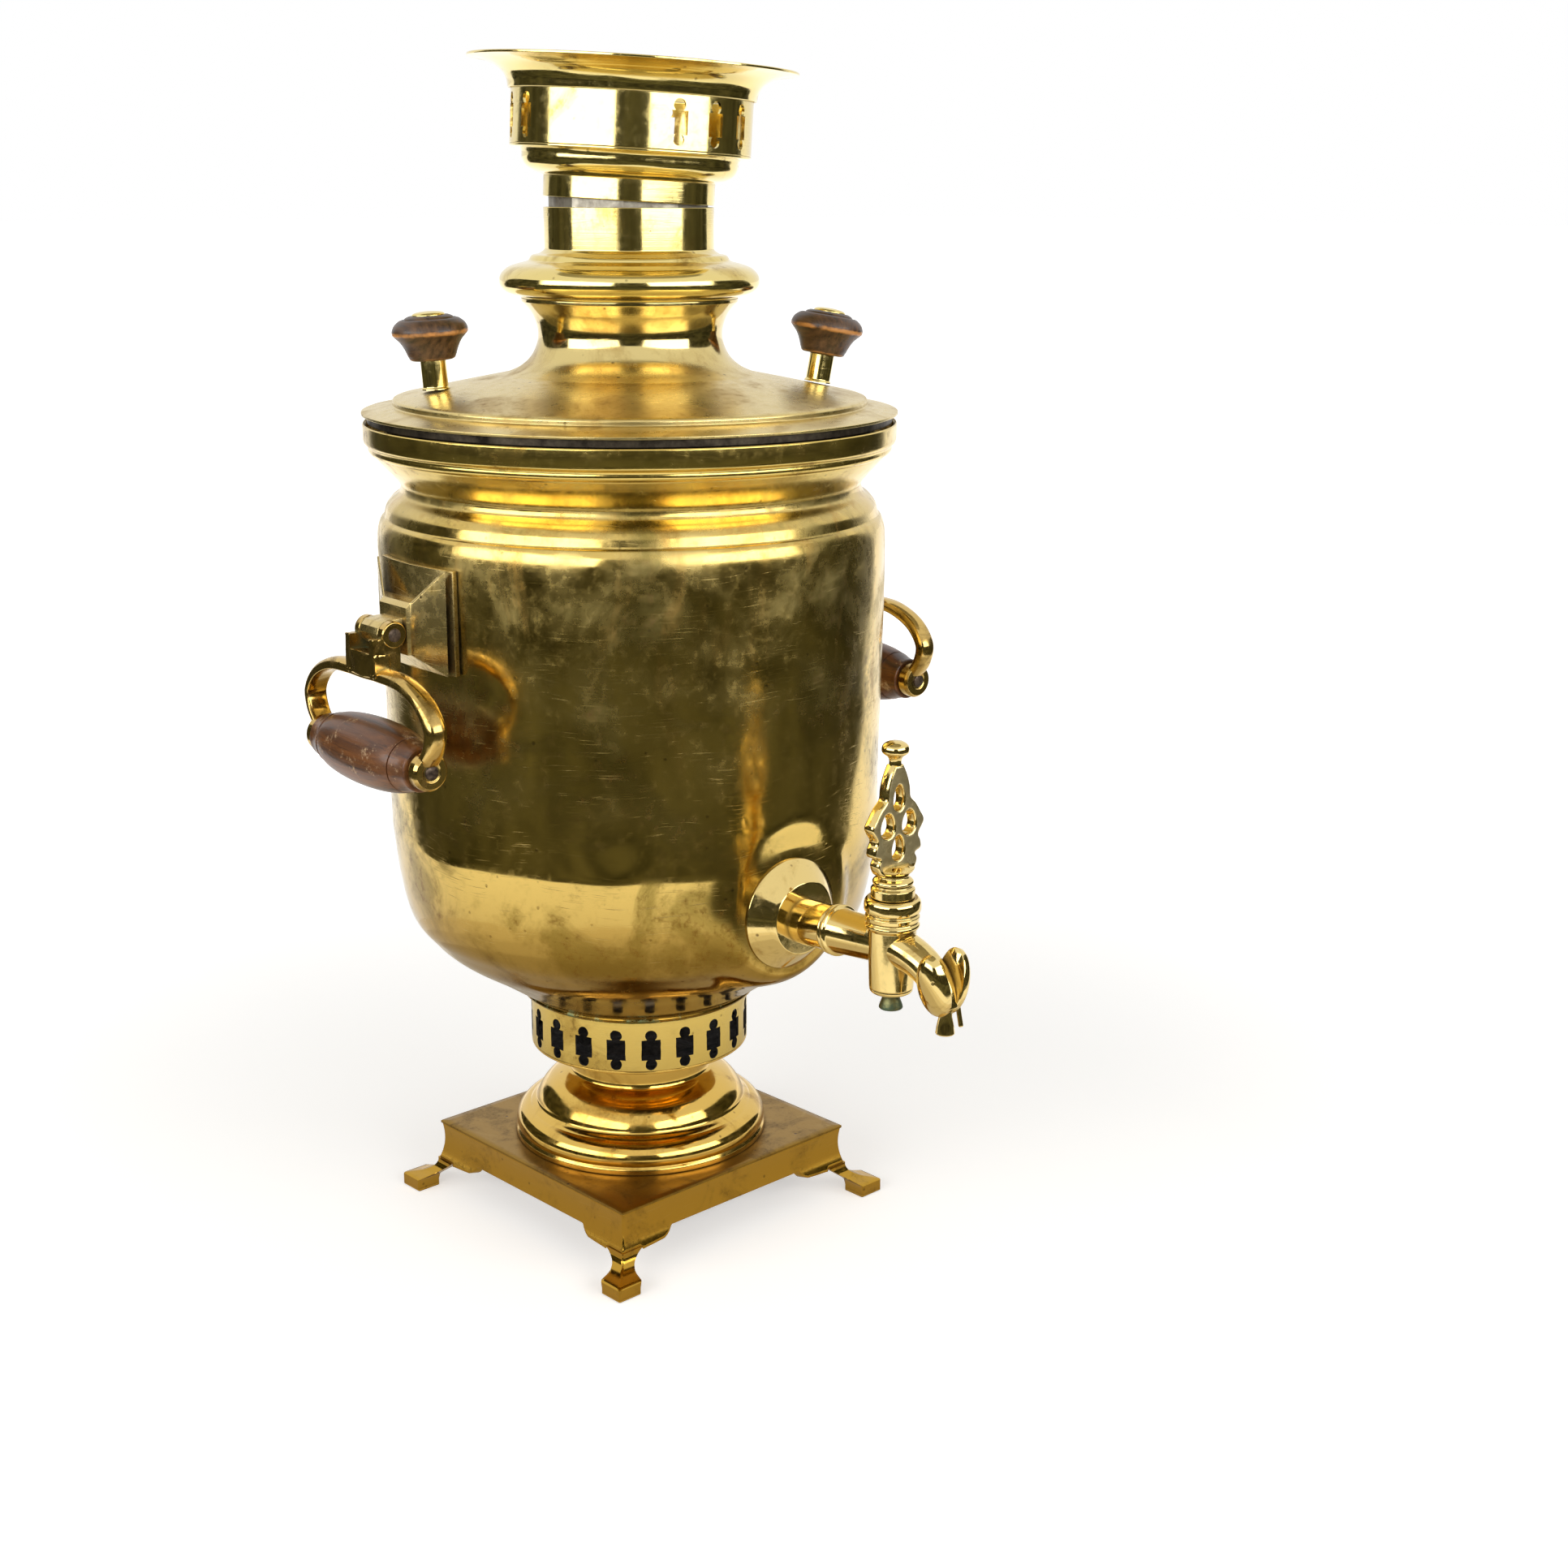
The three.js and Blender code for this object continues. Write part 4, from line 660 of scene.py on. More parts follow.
def plate_shell():
    """Rings between the round hole and the square edge, then down the edge and back under."""
    square = around_square(PLATE_HALF, 0.6, np.linspace(-1, 1, 33))
    circle = square / np.linalg.norm(square, axis=1, keepdims=True) * ASH_HOLE
    top = circle + (square - circle) * np.linspace(0, 1, 10)[:, None, None]
    inner_edge = square * (67.35 / PLATE_HALF)
    rings = [(ring, 33.5) for ring in top[:-1]]
    rings += [(inner_edge, 33.5), (square, 33.25), (square, 32.35), (inner_edge, 32.1), (circle, 32.1)]
    rows = [np.column_stack([ring, np.full(len(ring), z)]) for ring, z in rings]
    return on_plinth(np.stack(rows, 1))


plate = brass_piece("square_plate", "samovar_body", "plinth_plate", [plate_shell()], 50)
print("plate faces:", len(plate.data.polygons))

# %% [markdown]
# ## Feet
#
# Each cast foot starts as the square ankle under the skirt's corner and sweeps out in a hollow
# curve to a square toe. It is a stack of rounded squares: the height is one parameter, the way
# round the square is the other, and a middle point closes the top and the sole.

# %% Feet
STRAIGHT, SOLE_EASE = 0.93, 0.985  # shares of a foot's half side: its straight, and its sole


def foot_shell(quarter):
    """Inner and outer side of the square as smooth curves of the height, and the square drawn
    between them in the corner toward +x and +y, then turned by quarter turns."""
    outer = np.concatenate([
        smooth([(69.1, 14.6), (69.2, 12.6), (70.6, 10), (74.2, 7.8), (79.2, 6.6)], 16),
        [(80.6, 6.3), (81.1, 5.8), (81.1, 3), (81.1, 0.5), (80.6, 0)]])
    inner = smooth([(57, 14.6), (60.6, 12), (64.6, 9), (67.8, 6.4), (68.8, 4.8)], 30)
    z = outer[:, 1]
    near = np.interp(-z, -inner[:, 1], inner[:, 0])
    side = np.stack([np.ones(9), np.linspace(-1, 1, 9) * STRAIGHT], 1)
    plan = np.concatenate([quarter_turned(side, k) for k in range(4)])
    middle, half = (outer[:, 0] + near) / 2, (outer[:, 0] - near) / 2
    half = half * np.where(z < 0.3, SOLE_EASE, 1)
    xy = middle[None, :, None] + plan[:, None, :] * half[None, :, None]
    points, faces = capped(np.dstack([xy, np.broadcast_to(z, xy.shape[:2])]))
    return swing(quarter_turned(points, quarter), PLINTH_TURN, X, Y), faces


feet = [brass_piece("cast_foot_" + corner, "samovar_body", "foot_" + corner, [foot_shell(quarter)], 38)
        for quarter, corner in enumerate(("back_right", "back_left", "front_left", "front_right"))]
print("feet:", [len(o.data.polygons) for o in feet])

# %% [markdown]
# ## Lid knobs
#
# Two turned knobs of blackened wood stand on short brass stalks and lean outward a little. Their
# brass caps are the ends of the screws that hold them. Each is an outline turned about its own
# leaning axis, so the points are made upright and then leaned and carried to the lid.

# %% Knobs
KNOBS = {"right": (-24.5, 10), "left": (155.5, 4)}  # degrees round the lid, and outward lean
LID_SPOT = np.array([84.5, 0, 380.0])  # the stalk's foot on the lid's cone


def on_lid(points, turn, lean):
    """Leaned outward, moved to the stalk's foot, and turned about the body's axis."""
    return swing(swing(points, lean, Z, X) + LID_SPOT, turn, X, Y)


stalk_loop = eased([(0, 0), (6.0, 0), (5.9, 0.5), (5.4, 1.2), (5.4, 12.4), (0, 12.4)], 0.3, closed=False)
wood_loop = np.concatenate([
    [(0, 12.4), (8.6, 12.4), (9.5, 12.9), (10.0, 14.0)],
    smooth([(10.3, 14.6), (11.2, 17), (12.8, 20), (15.0, 22.4), (15.9, 23.4)], 14),
    smooth([(16.0, 24.2), (15.9, 25.3), (14.9, 27.3), (12.9, 29.0), (11.6, 29.5)], 12),
    [(11.2, 29.1), (10.6, 29.1), (10.4, 29.7)],
    smooth([(10.1, 30.1), (8.8, 30.7), (7.3, 30.9), (0, 30.9)], 8)])
cap_loop = np.concatenate([
    [(0, 30.7)], smooth([(7.0, 30.7), (6.9, 31.3), (5.9, 32.0), (3.4, 32.5), (0, 32.7)], 14)])
KNOB_PARTS = [("stalk", stalk_loop, "knob_stalk_", "brass"),
              ("wood_knob", eased(wood_loop, 0.2, closed=False), "lid_knob_", "dark_wood"),
              ("screw_cap", cap_loop, "knob_cap_", "brass")]
knob_pieces = []
for side, (turn, lean) in KNOBS.items():
    for name, loop, node, slot in KNOB_PARTS:
        points, faces = turned(loop, 72, closed=False)
        made = mesh_object(f"{name}_{side}", [(on_lid(points, turn, lean), faces)])
        knob_pieces.append(dress(made, "lid", slot, node + side))
print("knob pieces:", [o.name for o in knob_pieces])

# %% [markdown]
# ## The tap
#
# The tap is one casting: a tube that rises a little from its shield, the upright barrel that
# holds the tapered plug, and a spout that bends down between two rounded cheeks. Turned parts
# are outlines on their own axes. The spout is a circle carried along a bending path, and the
# cheeks are halves of leaning ellipsoids, flat toward the stream.

# %% Shield and tube
RISE = 4.4  # degrees by which the tube rises
SHIELD_Y, ROOT_Z = 117.427, 165.4
BARREL = np.array([0, -171.027, 0])


def from_shield(points, height):
    """What was made along +z now runs along -y from the shield's face, at a height."""
    return lying(points, 0, height) * (1, -1, 1) - (0, SHIELD_Y, 0)


shield_loop = eased([(0, -11), (24, -11), (24.0, -8.9), (23.5, -8.4), (15.9, -0.3), (15.4, 0), (0, 0)],
                    0.4, closed=False)
shield_points, shield_faces = turned(finer(shield_loop, 1.6, closed=False), 128, closed=False)
shield = brass_piece("tap_shield", "samovar_body", "wall_shield",
                     [(from_shield(shield_points, ROOT_Z + 1), shield_faces)])

tube_outline = np.concatenate([
    [(0, -6), (9.6, -6), (9.6, 0), (9.7, 4), (9.5, 18.4)],
    smooth([(9.5, 18.7), (10.5, 19.5), (10.6, 20.4), (9.7, 21.2)], 7),
    smooth([(9.8, 21.3), (10.8, 22.1), (10.7, 23.0), (9.6, 23.7)], 7),
    [(9.4, 24.2), (8.6, 50), (0, 50)]])
tube_points, tube_faces = solid_turned(tube_outline, 0.25, 96)
tube_shell = (from_shield(swing(tube_points, RISE, Z, Y), ROOT_Z), tube_faces)
print("shield faces:", len(shield.data.polygons), "tube faces:", len(tube_faces))

# %% [markdown]
# The barrel is turned, with beads near its upper end. The spout bends down and gets thinner: a
# spline gives its path, and circles square to the path give its skin.

# %% Barrel and spout
barrel_outline = np.concatenate([
    [(0, 149.2)], smooth([(6.4, 149.2), (7.8, 149.5), (8.7, 150.3), (8.9, 151.2)], 6),
    [(8.8, 151.6), (9.05, 151.9), (9.9, 176.4)],
    smooth([(10.1, 176.7), (11.0, 177.6), (11.1, 178.7), (10.4, 179.5)], 7),
    [(10.2, 179.9), (10.9, 180.5), (11.1, 182.2), (10.3, 183.0), (10.2, 183.5)],
    smooth([(10.7, 183.8), (11.5, 184.6), (11.5, 187.6), (11.0, 188.9), (10.2, 189.7)], 10),
    [(0, 189.7)]])
barrel_shell = moved(solid_turned(barrel_outline, 0.22, 112), BARREL)


def section_place(path, out):
    """Where a section's points lie in the path's plane, each moved out square to the path."""
    along = directions(path)
    return path[:, 0] - along[:, 1] * out, path[:, 1] + along[:, 0] * out


def spout_shell():
    """A circle carried along a spline from the barrel to the mouth: its radius shrinks from
    8.4 mm at the root to 5.2 mm at the end, and its plane stays square to the path."""
    path = smooth([(163, 170.2), (171, 169.6), (181, 168.6), (190.5, 165.4), (198.0, 159.6),
                   (201.6, 152.6), (202.6, 150.4)], 60)
    radius = np.interp(np.linspace(0, 1, len(path)), [0, 0.25, 0.7, 1], [8.4, 8.0, 6.6, 5.2])
    a = np.linspace(0, 2 * np.pi, 56, endpoint=False)[:, None]
    reach, up = section_place(path, radius * np.sin(a))
    return capped(np.stack([radius * np.cos(a), -reach, up], -1))


print("spout faces:", len(spout_shell()[1]))

# %% [markdown]
# Two cheeks stand beside the spout's end, domed outside and flat inside, with a short nozzle and a
# thin pin below. The solid nozzle is bored, and this one is left closed at its mouth.

# %% Cheeks, nozzle and drip pin
SPOUT_Y, SPOUT_Z, SPOUT_LEAN = -202.427, 169.524, 14


def cheek_shell(side):
    """Half of a fuller ellipsoid: an oval disc whose thickness falls off as one minus the squared
    distance, to the power 0.4, its flat face toward the middle, leaning out at the top."""
    deep, tall = 7.8, 13.6
    a = np.linspace(0, 2 * np.pi, 64, endpoint=False)[:, None]
    share = np.array([0, 0.25, 0.5, 0.68, 0.8, 0.88, 0.94, 0.975, 0.993, 1.0])
    dome = 6.4 * np.sqrt(1 - share**2) ** 0.8
    r = np.concatenate([share, [1.0, 0.97, 0.5, 0]])
    x = np.concatenate([dome, [-0.5, -0.8, -0.8, -0.8]]) * np.ones_like(a)
    y, z = deep * r * np.cos(a), tall * r * np.sin(a)
    points = swing(np.stack([x, y, z - 0.9 * (y / deep) ** 2], -1), SPOUT_LEAN, Z, X)
    points = (points + (4.2, SPOUT_Y + 1.7, SPOUT_Z - 8.2)) * (side, 1, 1)
    return points, grid_faces(len(a), len(r), True, False)


nozzle_outline = [(0, 140.7), (2.2, 140.7), (3.7, 140.7), (3.9, 141.1), (3.5, 144), (2.7, 148),
                  (2.6, 153), (0, 153)]
nozzle_shell = moved(solid_turned(nozzle_outline, 0.2, 48), (0, SPOUT_Y, 0))
drip_outline = [(0, -11), (0.75, -11), (1, -10.6), (1, 0), (0, 0)]
drip_points, drip_faces = solid_turned(drip_outline, 0.15, 24)
drip_shell = moved((swing(drip_points, SPOUT_LEAN, Z, Y), drip_faces), (6.2, SPOUT_Y, SPOUT_Z - 16.1))
casting = brass_piece("tap_casting", "samovar_body", "tap_body", [
    tube_shell, barrel_shell, spout_shell(), cheek_shell(1), cheek_shell(-1), nozzle_shell,
    drip_shell], 42)
print("tap casting faces:", len(casting.data.polygons))

# %% [markdown]
# ## Plug and key
#
# The tapered plug turns in the barrel. From outside one sees its tail, green with water, and the
# key on its head, so only these are made here and the barrel is left closed.

# %% The plug's tail
tail_outline = np.concatenate([
    [(0, 142.4)],
    smooth([(4.6, 142.4), (4.9, 142.9), (4.5, 144.4), (3.5, 147.2), (3.4, 149.0)], 10),
    [(3.4, 150), (0, 150)]])
tail = brass_piece("plug_tail", "tap_plug_and_key", "tap_plug",
                   [moved(solid_turned(tail_outline, 0.2, 48), BARREL)])
print("tail faces:", len(tail.data.polygons))

# %% [markdown]
# The key is a cast leaf that one turns with thumb and finger. It is a flat outline with four
# openings. A two-dimensional curve fills such an outline and rounds its edges in one step, and it
# becomes a mesh before it is put in place.

# %% The key's leaf
LEAF_FOOT = 199.2
leaf_edge = smooth([(6.2, 0), (9.0, 1.6), (10.4, 5.0), (9.4, 7.9), (12.3, 9.5), (12.2, 12.2),
                    (11.0, 15.6), (13.8, 20.6), (11.8, 24.6), (9.4, 28.2), (6.4, 31.4), (5.8, 36),
                    (4.2, 41), (2.2, 45)], 96)
leaf_holes = [(0, 11.4, 3.3, 5.3), (5.7, 21.2, 3.7, 5.2), (-5.7, 21.2, 3.7, 5.2), (0, 32.0, 2.9, 5.4)]


def leaf_curve():
    """The right edge and its mirror make the outline; each opening, given by its middle and its
    half width and height, is an ellipse that narrows toward its top."""
    data = bpy.data.curves.new("leaf", "CURVE")
    data.dimensions, data.fill_mode = "2D", "BOTH"
    a = np.linspace(0, 2 * np.pi, 28, endpoint=False)
    rings = [np.concatenate([leaf_edge, leaf_edge[::-1] * (-1, 1)])]
    for x, y, wide, tall in leaf_holes:
        narrowed = wide * np.cos(a) * (1 - 0.22 * np.sin(a))
        rings.append(np.stack([x + narrowed, y + tall * np.sin(a)], 1))
    for ring in rings:
        spline = data.splines.new("POLY")
        spline.points.add(len(ring) - 1)
        four = np.column_stack([ring, np.zeros(len(ring)), np.ones(len(ring))])
        spline.points.foreach_set("co", four.ravel())
        spline.use_cyclic_u = True
    data.extrude, data.offset = 1.7, -0.9
    data.bevel_depth, data.bevel_resolution = 1.2, 3
    return data


leaf_object = placed("leaf", leaf_curve())
leaf_mesh = evaluated_mesh(leaf_object)
bpy.data.objects.remove(leaf_object)
leaf_points = lying(positions(leaf_mesh), 0, LEAF_FOOT) + BARREL
leaf_faces = [list(face.vertices) for face in leaf_mesh.polygons]
print("leaf faces:", len(leaf_faces))

# %% [markdown]
# The leaf stands on a turned head and carries a turned finial. On the real key they are one
# casting, so they are shells of one object.

# %% The whole key
head_outline = np.concatenate([
    [(0, 190)], [(8.9, 190), (9.0, 193.4), (8.6, 193.9)],
    smooth([(8.0, 194.3), (7.7, 194.9), (8.3, 195.9), (8.2, 196.8), (7.4, 197.6)], 10),
    smooth([(6.9, 198), (6.4, 198.8), (6.9, 199.9), (8.2, 201.2), (8.6, 202.2)], 10),
    [(6, 203.4), (0, 203.6)]])
finial_outline = np.concatenate([
    [(0, 239.4)], smooth([(2.9, 239.4), (2.6, 243.8), (2.5, 246), (3.2, 247.6), (5.2, 249.2),
                          (5.5, 250.8), (4.9, 252.4), (3.0, 253.6), (0, 254)], 30)])
key = brass_piece("leaf_key", "tap_plug_and_key", "tap_key", [
    (leaf_points, leaf_faces), moved(solid_turned(head_outline, 0.2, 72), BARREL),
    moved(turned(finial_outline, 56, closed=False), BARREL)], 40)
print("key faces:", len(key.data.polygons))

# %% [markdown]
# ## Handles
#
# Each handle hangs from a bracket that is riveted and soldered to the wall. The bracket is a
# bevelled copy of its solid, because its shape is all flat plates. Discs lie on their side about
# a pin, and a block with rounded edges stands for what was filed square.

# %% Copies, discs and blocks
def copy_of(name, node):
    """The node's triangles joined into flat faces, with every edge bevelled."""
    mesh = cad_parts[node].data.copy()
    mesh.materials.clear()
    build = bmesh.new()
    build.from_mesh(mesh)
    bmesh.ops.remove_doubles(build, verts=build.verts, dist=MERGE)
    bmesh.ops.dissolve_limit(build, angle_limit=math.radians(1.5), verts=build.verts, edges=build.edges)
    build.to_mesh(mesh)
    build.free()
    return bevelled(placed(name, mesh), 0.0005, 3, 28, 35)


def about_pin(outline, x, z, sides=64):
    """An outline of (radius, place along y) turned about a line along y through (x, z)."""
    points, faces = solid_turned(outline, 0.25, sides)
    return lying(points, x, z), faces


def block(low, high, ease):
    """A box with rounded edges: each direction of a grid on the sphere finds a point of an inner
    box, smaller all round by the ease, and goes out from there by the ease."""
    u = np.linspace(-np.pi, np.pi, 64, endpoint=False)[:, None]
    v = np.linspace(-np.pi / 2, np.pi / 2, 33)
    ray = np.stack(np.broadcast_arrays(np.cos(v) * np.cos(u), np.cos(v) * np.sin(u), np.sin(v)), -1)
    half = (np.array(high, float) - low) / 2
    cube = ray / np.abs(ray).max(-1, keepdims=True)
    inside = np.clip(cube * 1.25, -1, 1) * (half - ease)
    away = cube * half - inside
    away /= np.maximum(np.linalg.norm(away, axis=-1, keepdims=True), 1e-9)
    points = inside + away * ease + (np.array(low) + high) / 2
    return points, grid_faces(*points.shape[:2], True, False)


print("a block has", len(block((0, 0, 0), (4, 4, 4), 0.5)[1]), "faces")

# %% [markdown]
# The bail is a half-round strap carried along a spline in one plane, with two ears round the hinge
# pin and two bosses that hold the grip. One swept section keeps its width through the bends, which
# a bent copy of a straight bar would not.

# %% Bail
PIN_X, PIN_Z, STRAP_X, GRIP_Z = 129.0, 287.4, 134.0, 237.4
EAR_IN, EAR_OUT = 7.4, 11.4
ear_outline = [(0, EAR_IN), (5.4, EAR_IN), (5.6, 7.7), (5.6, 10.9), (5.1, EAR_OUT), (0, EAR_OUT)]
boss_outline = [(0, 38.6), (7.2, 38.6), (8, 39.2), (8, 43.2), (7, 44.6), (4.2, 44.6), (3.6, 44.2),
                (0, 44.2)]


def strap_shell():
    """Half-round section carried along the path: out is square to the path in the strap's plane,
    across is along x. It is nearly a half ellipse outside and nearly flat toward the hand."""
    right = [(0, 271.4), (12, 271.6), (28, 270.6), (41.6, 265), (49, 256), (47.6, 247.4), (43.2, 241.6)]
    path = smooth([(-y, z) for y, z in right[:0:-1]] + right, 110)
    a = np.linspace(0, 2 * np.pi, 40, endpoint=False)[:, None]
    wave, side = np.abs(np.sin(a)), np.cos(a)
    out = np.where(np.sin(a) > 0, 4.4 * wave**0.85, -0.9 * wave**0.5) - 1.7
    across = 4.8 * np.sign(side) * np.abs(side) ** 0.8
    y, z = section_place(path, out)
    return capped(np.stack([STRAP_X + across + 0 * y, y, z], -1))


bail_shells = [strap_shell(), block((131, -EAR_OUT, 270), (139.4, EAR_OUT, 280.6), 0.8)]
for side in (1, -1):
    low_y, high_y = sorted((side * EAR_IN, side * EAR_OUT))
    bail_shells += [about_pin(np.array(ear_outline) * (1, side), PIN_X, PIN_Z),
                    block((126.4, low_y, 271.4), (139.2, high_y, 286.6), 0.5),
                    about_pin(np.array(boss_outline) * (1, side), STRAP_X, GRIP_Z)]
print("shells of a bail:", len(bail_shells))

# %% [markdown]
# The pins are rivets with a head at each end, so half an outline and its mirror make them. The grip
# is a turned spindle with a groove near each end.

# %% Rivets and grip
def mirrored(half):
    """An outline of (radius, place along y), then the same with y turned round."""
    return list(half) + [(r, -y) for r, y in half[::-1]]


hinge_rivet = mirrored([(0, -12.2), (1.4, -12.2), (2.6, -11.9), (2.9, -11.4), (2.0, -11.2)])
grip_rivet = mirrored([(0, -45.4), (1.8, -45.4), (2.8, -45.0), (3.1, -44.3), (2, -44)])
half_grip = np.concatenate([
    smooth([(9.0, 38.2), (9.6, 37.6), (9.8, 35), (11.2, 30), (11.6, 29.2)], 10),
    smooth([(11.0, 28.7), (11.1, 28.1), (11.8, 27.7), (13.2, 22), (14.2, 14), (14.7, 6), (14.8, 0)], 24)])
grip_loop = np.concatenate([[(2.4, 38.2)], half_grip, half_grip[::-1][1:] * (1, -1), [(2.4, -38.2)]])
SLIM = 0.985  # keeps the rounded wood within its solid
grip_points, grip_faces = turned(eased(grip_loop, 0.25) * (SLIM, 1), 96)
print("grip faces:", len(grip_faces))

# %% [markdown]
# All shells are made for the right side and turned half round for the left. A mirrored copy would
# do as well, but it would turn the faces inside out, and a half turn doesn't.

# %% Both handles
HANDLE_PARTS = [
    ("bail", "strap_bail", "bail", "brass", bail_shells, 42),
    ("pin", "hinge_rivet", "hinge_pin", "iron_pin", [about_pin(hinge_rivet, PIN_X, PIN_Z, 40)], None),
    ("grip", "walnut_grip", "grip", "walnut", [(lying(grip_points, STRAP_X, GRIP_Z), grip_faces)], None),
    ("rivet", "grip_rivet", "grip_pin", "iron_pin", [about_pin(grip_rivet, STRAP_X, GRIP_Z, 40)], None)]
handles = {}
for side, way in (("right", (1, 1, 1)), ("left", (-1, -1, 1))):
    bracket = copy_of("wall_bracket_" + side, "bracket_" + side)
    handles["bracket_" + side] = dress(bracket, "samovar_body", "brass", "bracket_" + side)
    for kind, name, node, slot, shells, sharp in HANDLE_PARTS:
        made = mesh_object(f"{name}_{side}", [(points * way, faces) for points, faces in shells], sharp)
        body = "samovar_body" if kind == "pin" else "handle_" + side
        handles[f"{kind}_{side}"] = dress(made, body, slot, f"{node}_{side}")
print("handle pieces:", {k: len(o.data.polygons) for k, o in handles.items()})

# %% [markdown]
# ## Finishes
#
# A finish is a small tree of shader nodes. Colours are written as sRGB hex values and one
# function turns them to linear. Patterns read object coordinates in metres, so a pattern's scale
# is one over its real size. One function adds a node with its settings and links.

# %% Node helpers
def linear(code):
    """sRGB hex to linear: divided by 12.92 below the knee, and a 2.4 power above it."""
    v = np.array([int(code[k:k + 2], 16) for k in (1, 3, 5)]) / 255
    v = np.where(v <= 0.04045, v / 12.92, ((v + 0.055) / 1.055) ** 2.4)
    return (*(float(c) for c in v), 1.0)


def join(tree, node, inputs):
    """Each input is set to a value, or linked to a socket or to a node's first output in use."""
    for key, value in inputs.items():
        if isinstance(value, bpy.types.Node):
            value = next(socket for socket in value.outputs if socket.enabled)
        if isinstance(value, bpy.types.NodeSocket):
            tree.links.new(value, node.inputs[key])
        else:
            node.inputs[key].default_value = value


def add(tree, kind, inputs=None, **settings):
    """A node of this kind with its settings, its inputs set or linked."""
    node = tree.nodes.new("ShaderNode" + kind)
    for name, value in settings.items():
        setattr(node, name, value)
    join(tree, node, inputs or {})
    return node


print("pure mid grey is", [round(c, 3) for c in linear("#808080")[:3]])

# %% [markdown]
# What lies on a metal or a wood is laid on as a coat: a share of the surface, from 0 to 1, that
# changes colour, roughness and height together. A mask for each of the three would drift apart.

# %% Finish helpers
def finish(name, constants):
    """A new material with its shader, whose constants are set on the shader's own sockets, and
    the object coordinates measured from the body's axis."""
    material = bpy.data.materials.new(name)
    material.use_nodes = True
    tree = material.node_tree
    shader = tree.nodes["Principled BSDF"]
    join(tree, shader, constants)
    place = add(tree, "TexCoord").outputs["Object"]
    return material, tree, shader, add(tree, "Mapping", {"Vector": place, "Location": tuple(-AXIS)})


def coat(tree, look, share, tone=None, cover=None, rougher=None, raised=None):
    """Lays a coat over a look: by its share, and cover if given, the colour mixes toward the
    tone, and roughness and height grow by the share times an amount."""
    if tone:
        hiding = add(tree, "Math", {0: share, 1: cover}, operation="MULTIPLY") if cover else share
        look["colour"] = add(tree, "Mix", {"Factor": hiding, "A": look["colour"], "B": linear(tone)},
                             data_type="RGBA")
    for part, amount in (("rough", rougher), ("height", raised)):
        if amount is not None:
            look[part] = add(tree, "Math", {0: share, 1: amount, 2: look[part]},
                             operation="MULTIPLY_ADD")


def show(tree, shader, look, relief):
    """Links the look to the shader, its height as a bump of a relief in metres."""
    bump = add(tree, "Bump", {"Height": look["height"], "Distance": relief, "Strength": 1.0})
    join(tree, shader, {"Base Color": look["colour"], "Roughness": look["rough"], "Normal": bump})


def use(material, *pieces):
    """The pieces show this material alone."""
    for piece in pieces:
        piece.data.materials.clear()
        piece.data.materials.append(material)


print("materials so far:", len(bpy.data.materials))

# %% [markdown]
# ## Brass
#
# Old brass is a mirror under a thin, uneven film. The film gives soft brown and olive clouds some
# 10 to 40 mm across, finer mottling where drops dried, hair scratches from years of polishing,
# and specks. The film is duller than the metal, so it is rougher too. Verdigris grows where
# water stays: in seams and low on the body. All brass pieces share this recipe, each with its
# own tones and amounts.

# %% Film, scratches and specks
def film_over_metal(tree, place, clean, film, stain, cover, cloud, gloss, dull, grain):
    """Metal under a film in clouds of cloud mm that cover a share of it, with stains of grain mm
    on the film. Roughness runs from gloss on the metal to dull on the film."""
    clouds = add(tree, "TexNoise", {"Vector": place, "Scale": 1000 / cloud, "Detail": 6.0,
                                    "Roughness": 0.62, "Distortion": 0.6})
    share = add(tree, "MapRange", {"Value": clouds, "From Min": 0.62 - 0.34 * cover,
                                   "From Max": 0.84 - 0.34 * cover}, interpolation_type="SMOOTHSTEP")
    drops = add(tree, "TexNoise", {"Vector": place, "Scale": 1000 / grain, "Detail": 4.0,
                                   "Roughness": 0.7})
    drops = add(tree, "MapRange", {"Value": drops, "From Min": 0.50, "From Max": 0.72})
    stained = add(tree, "Math", {0: drops, 1: share}, operation="MULTIPLY")
    look = {"colour": linear(clean),
            "rough": add(tree, "MapRange", {"Value": share, "To Min": gloss, "To Max": dull})}
    coat(tree, look, share, film)
    coat(tree, look, stained, stain)
    coat(tree, look, drops, rougher=0.12)
    return look


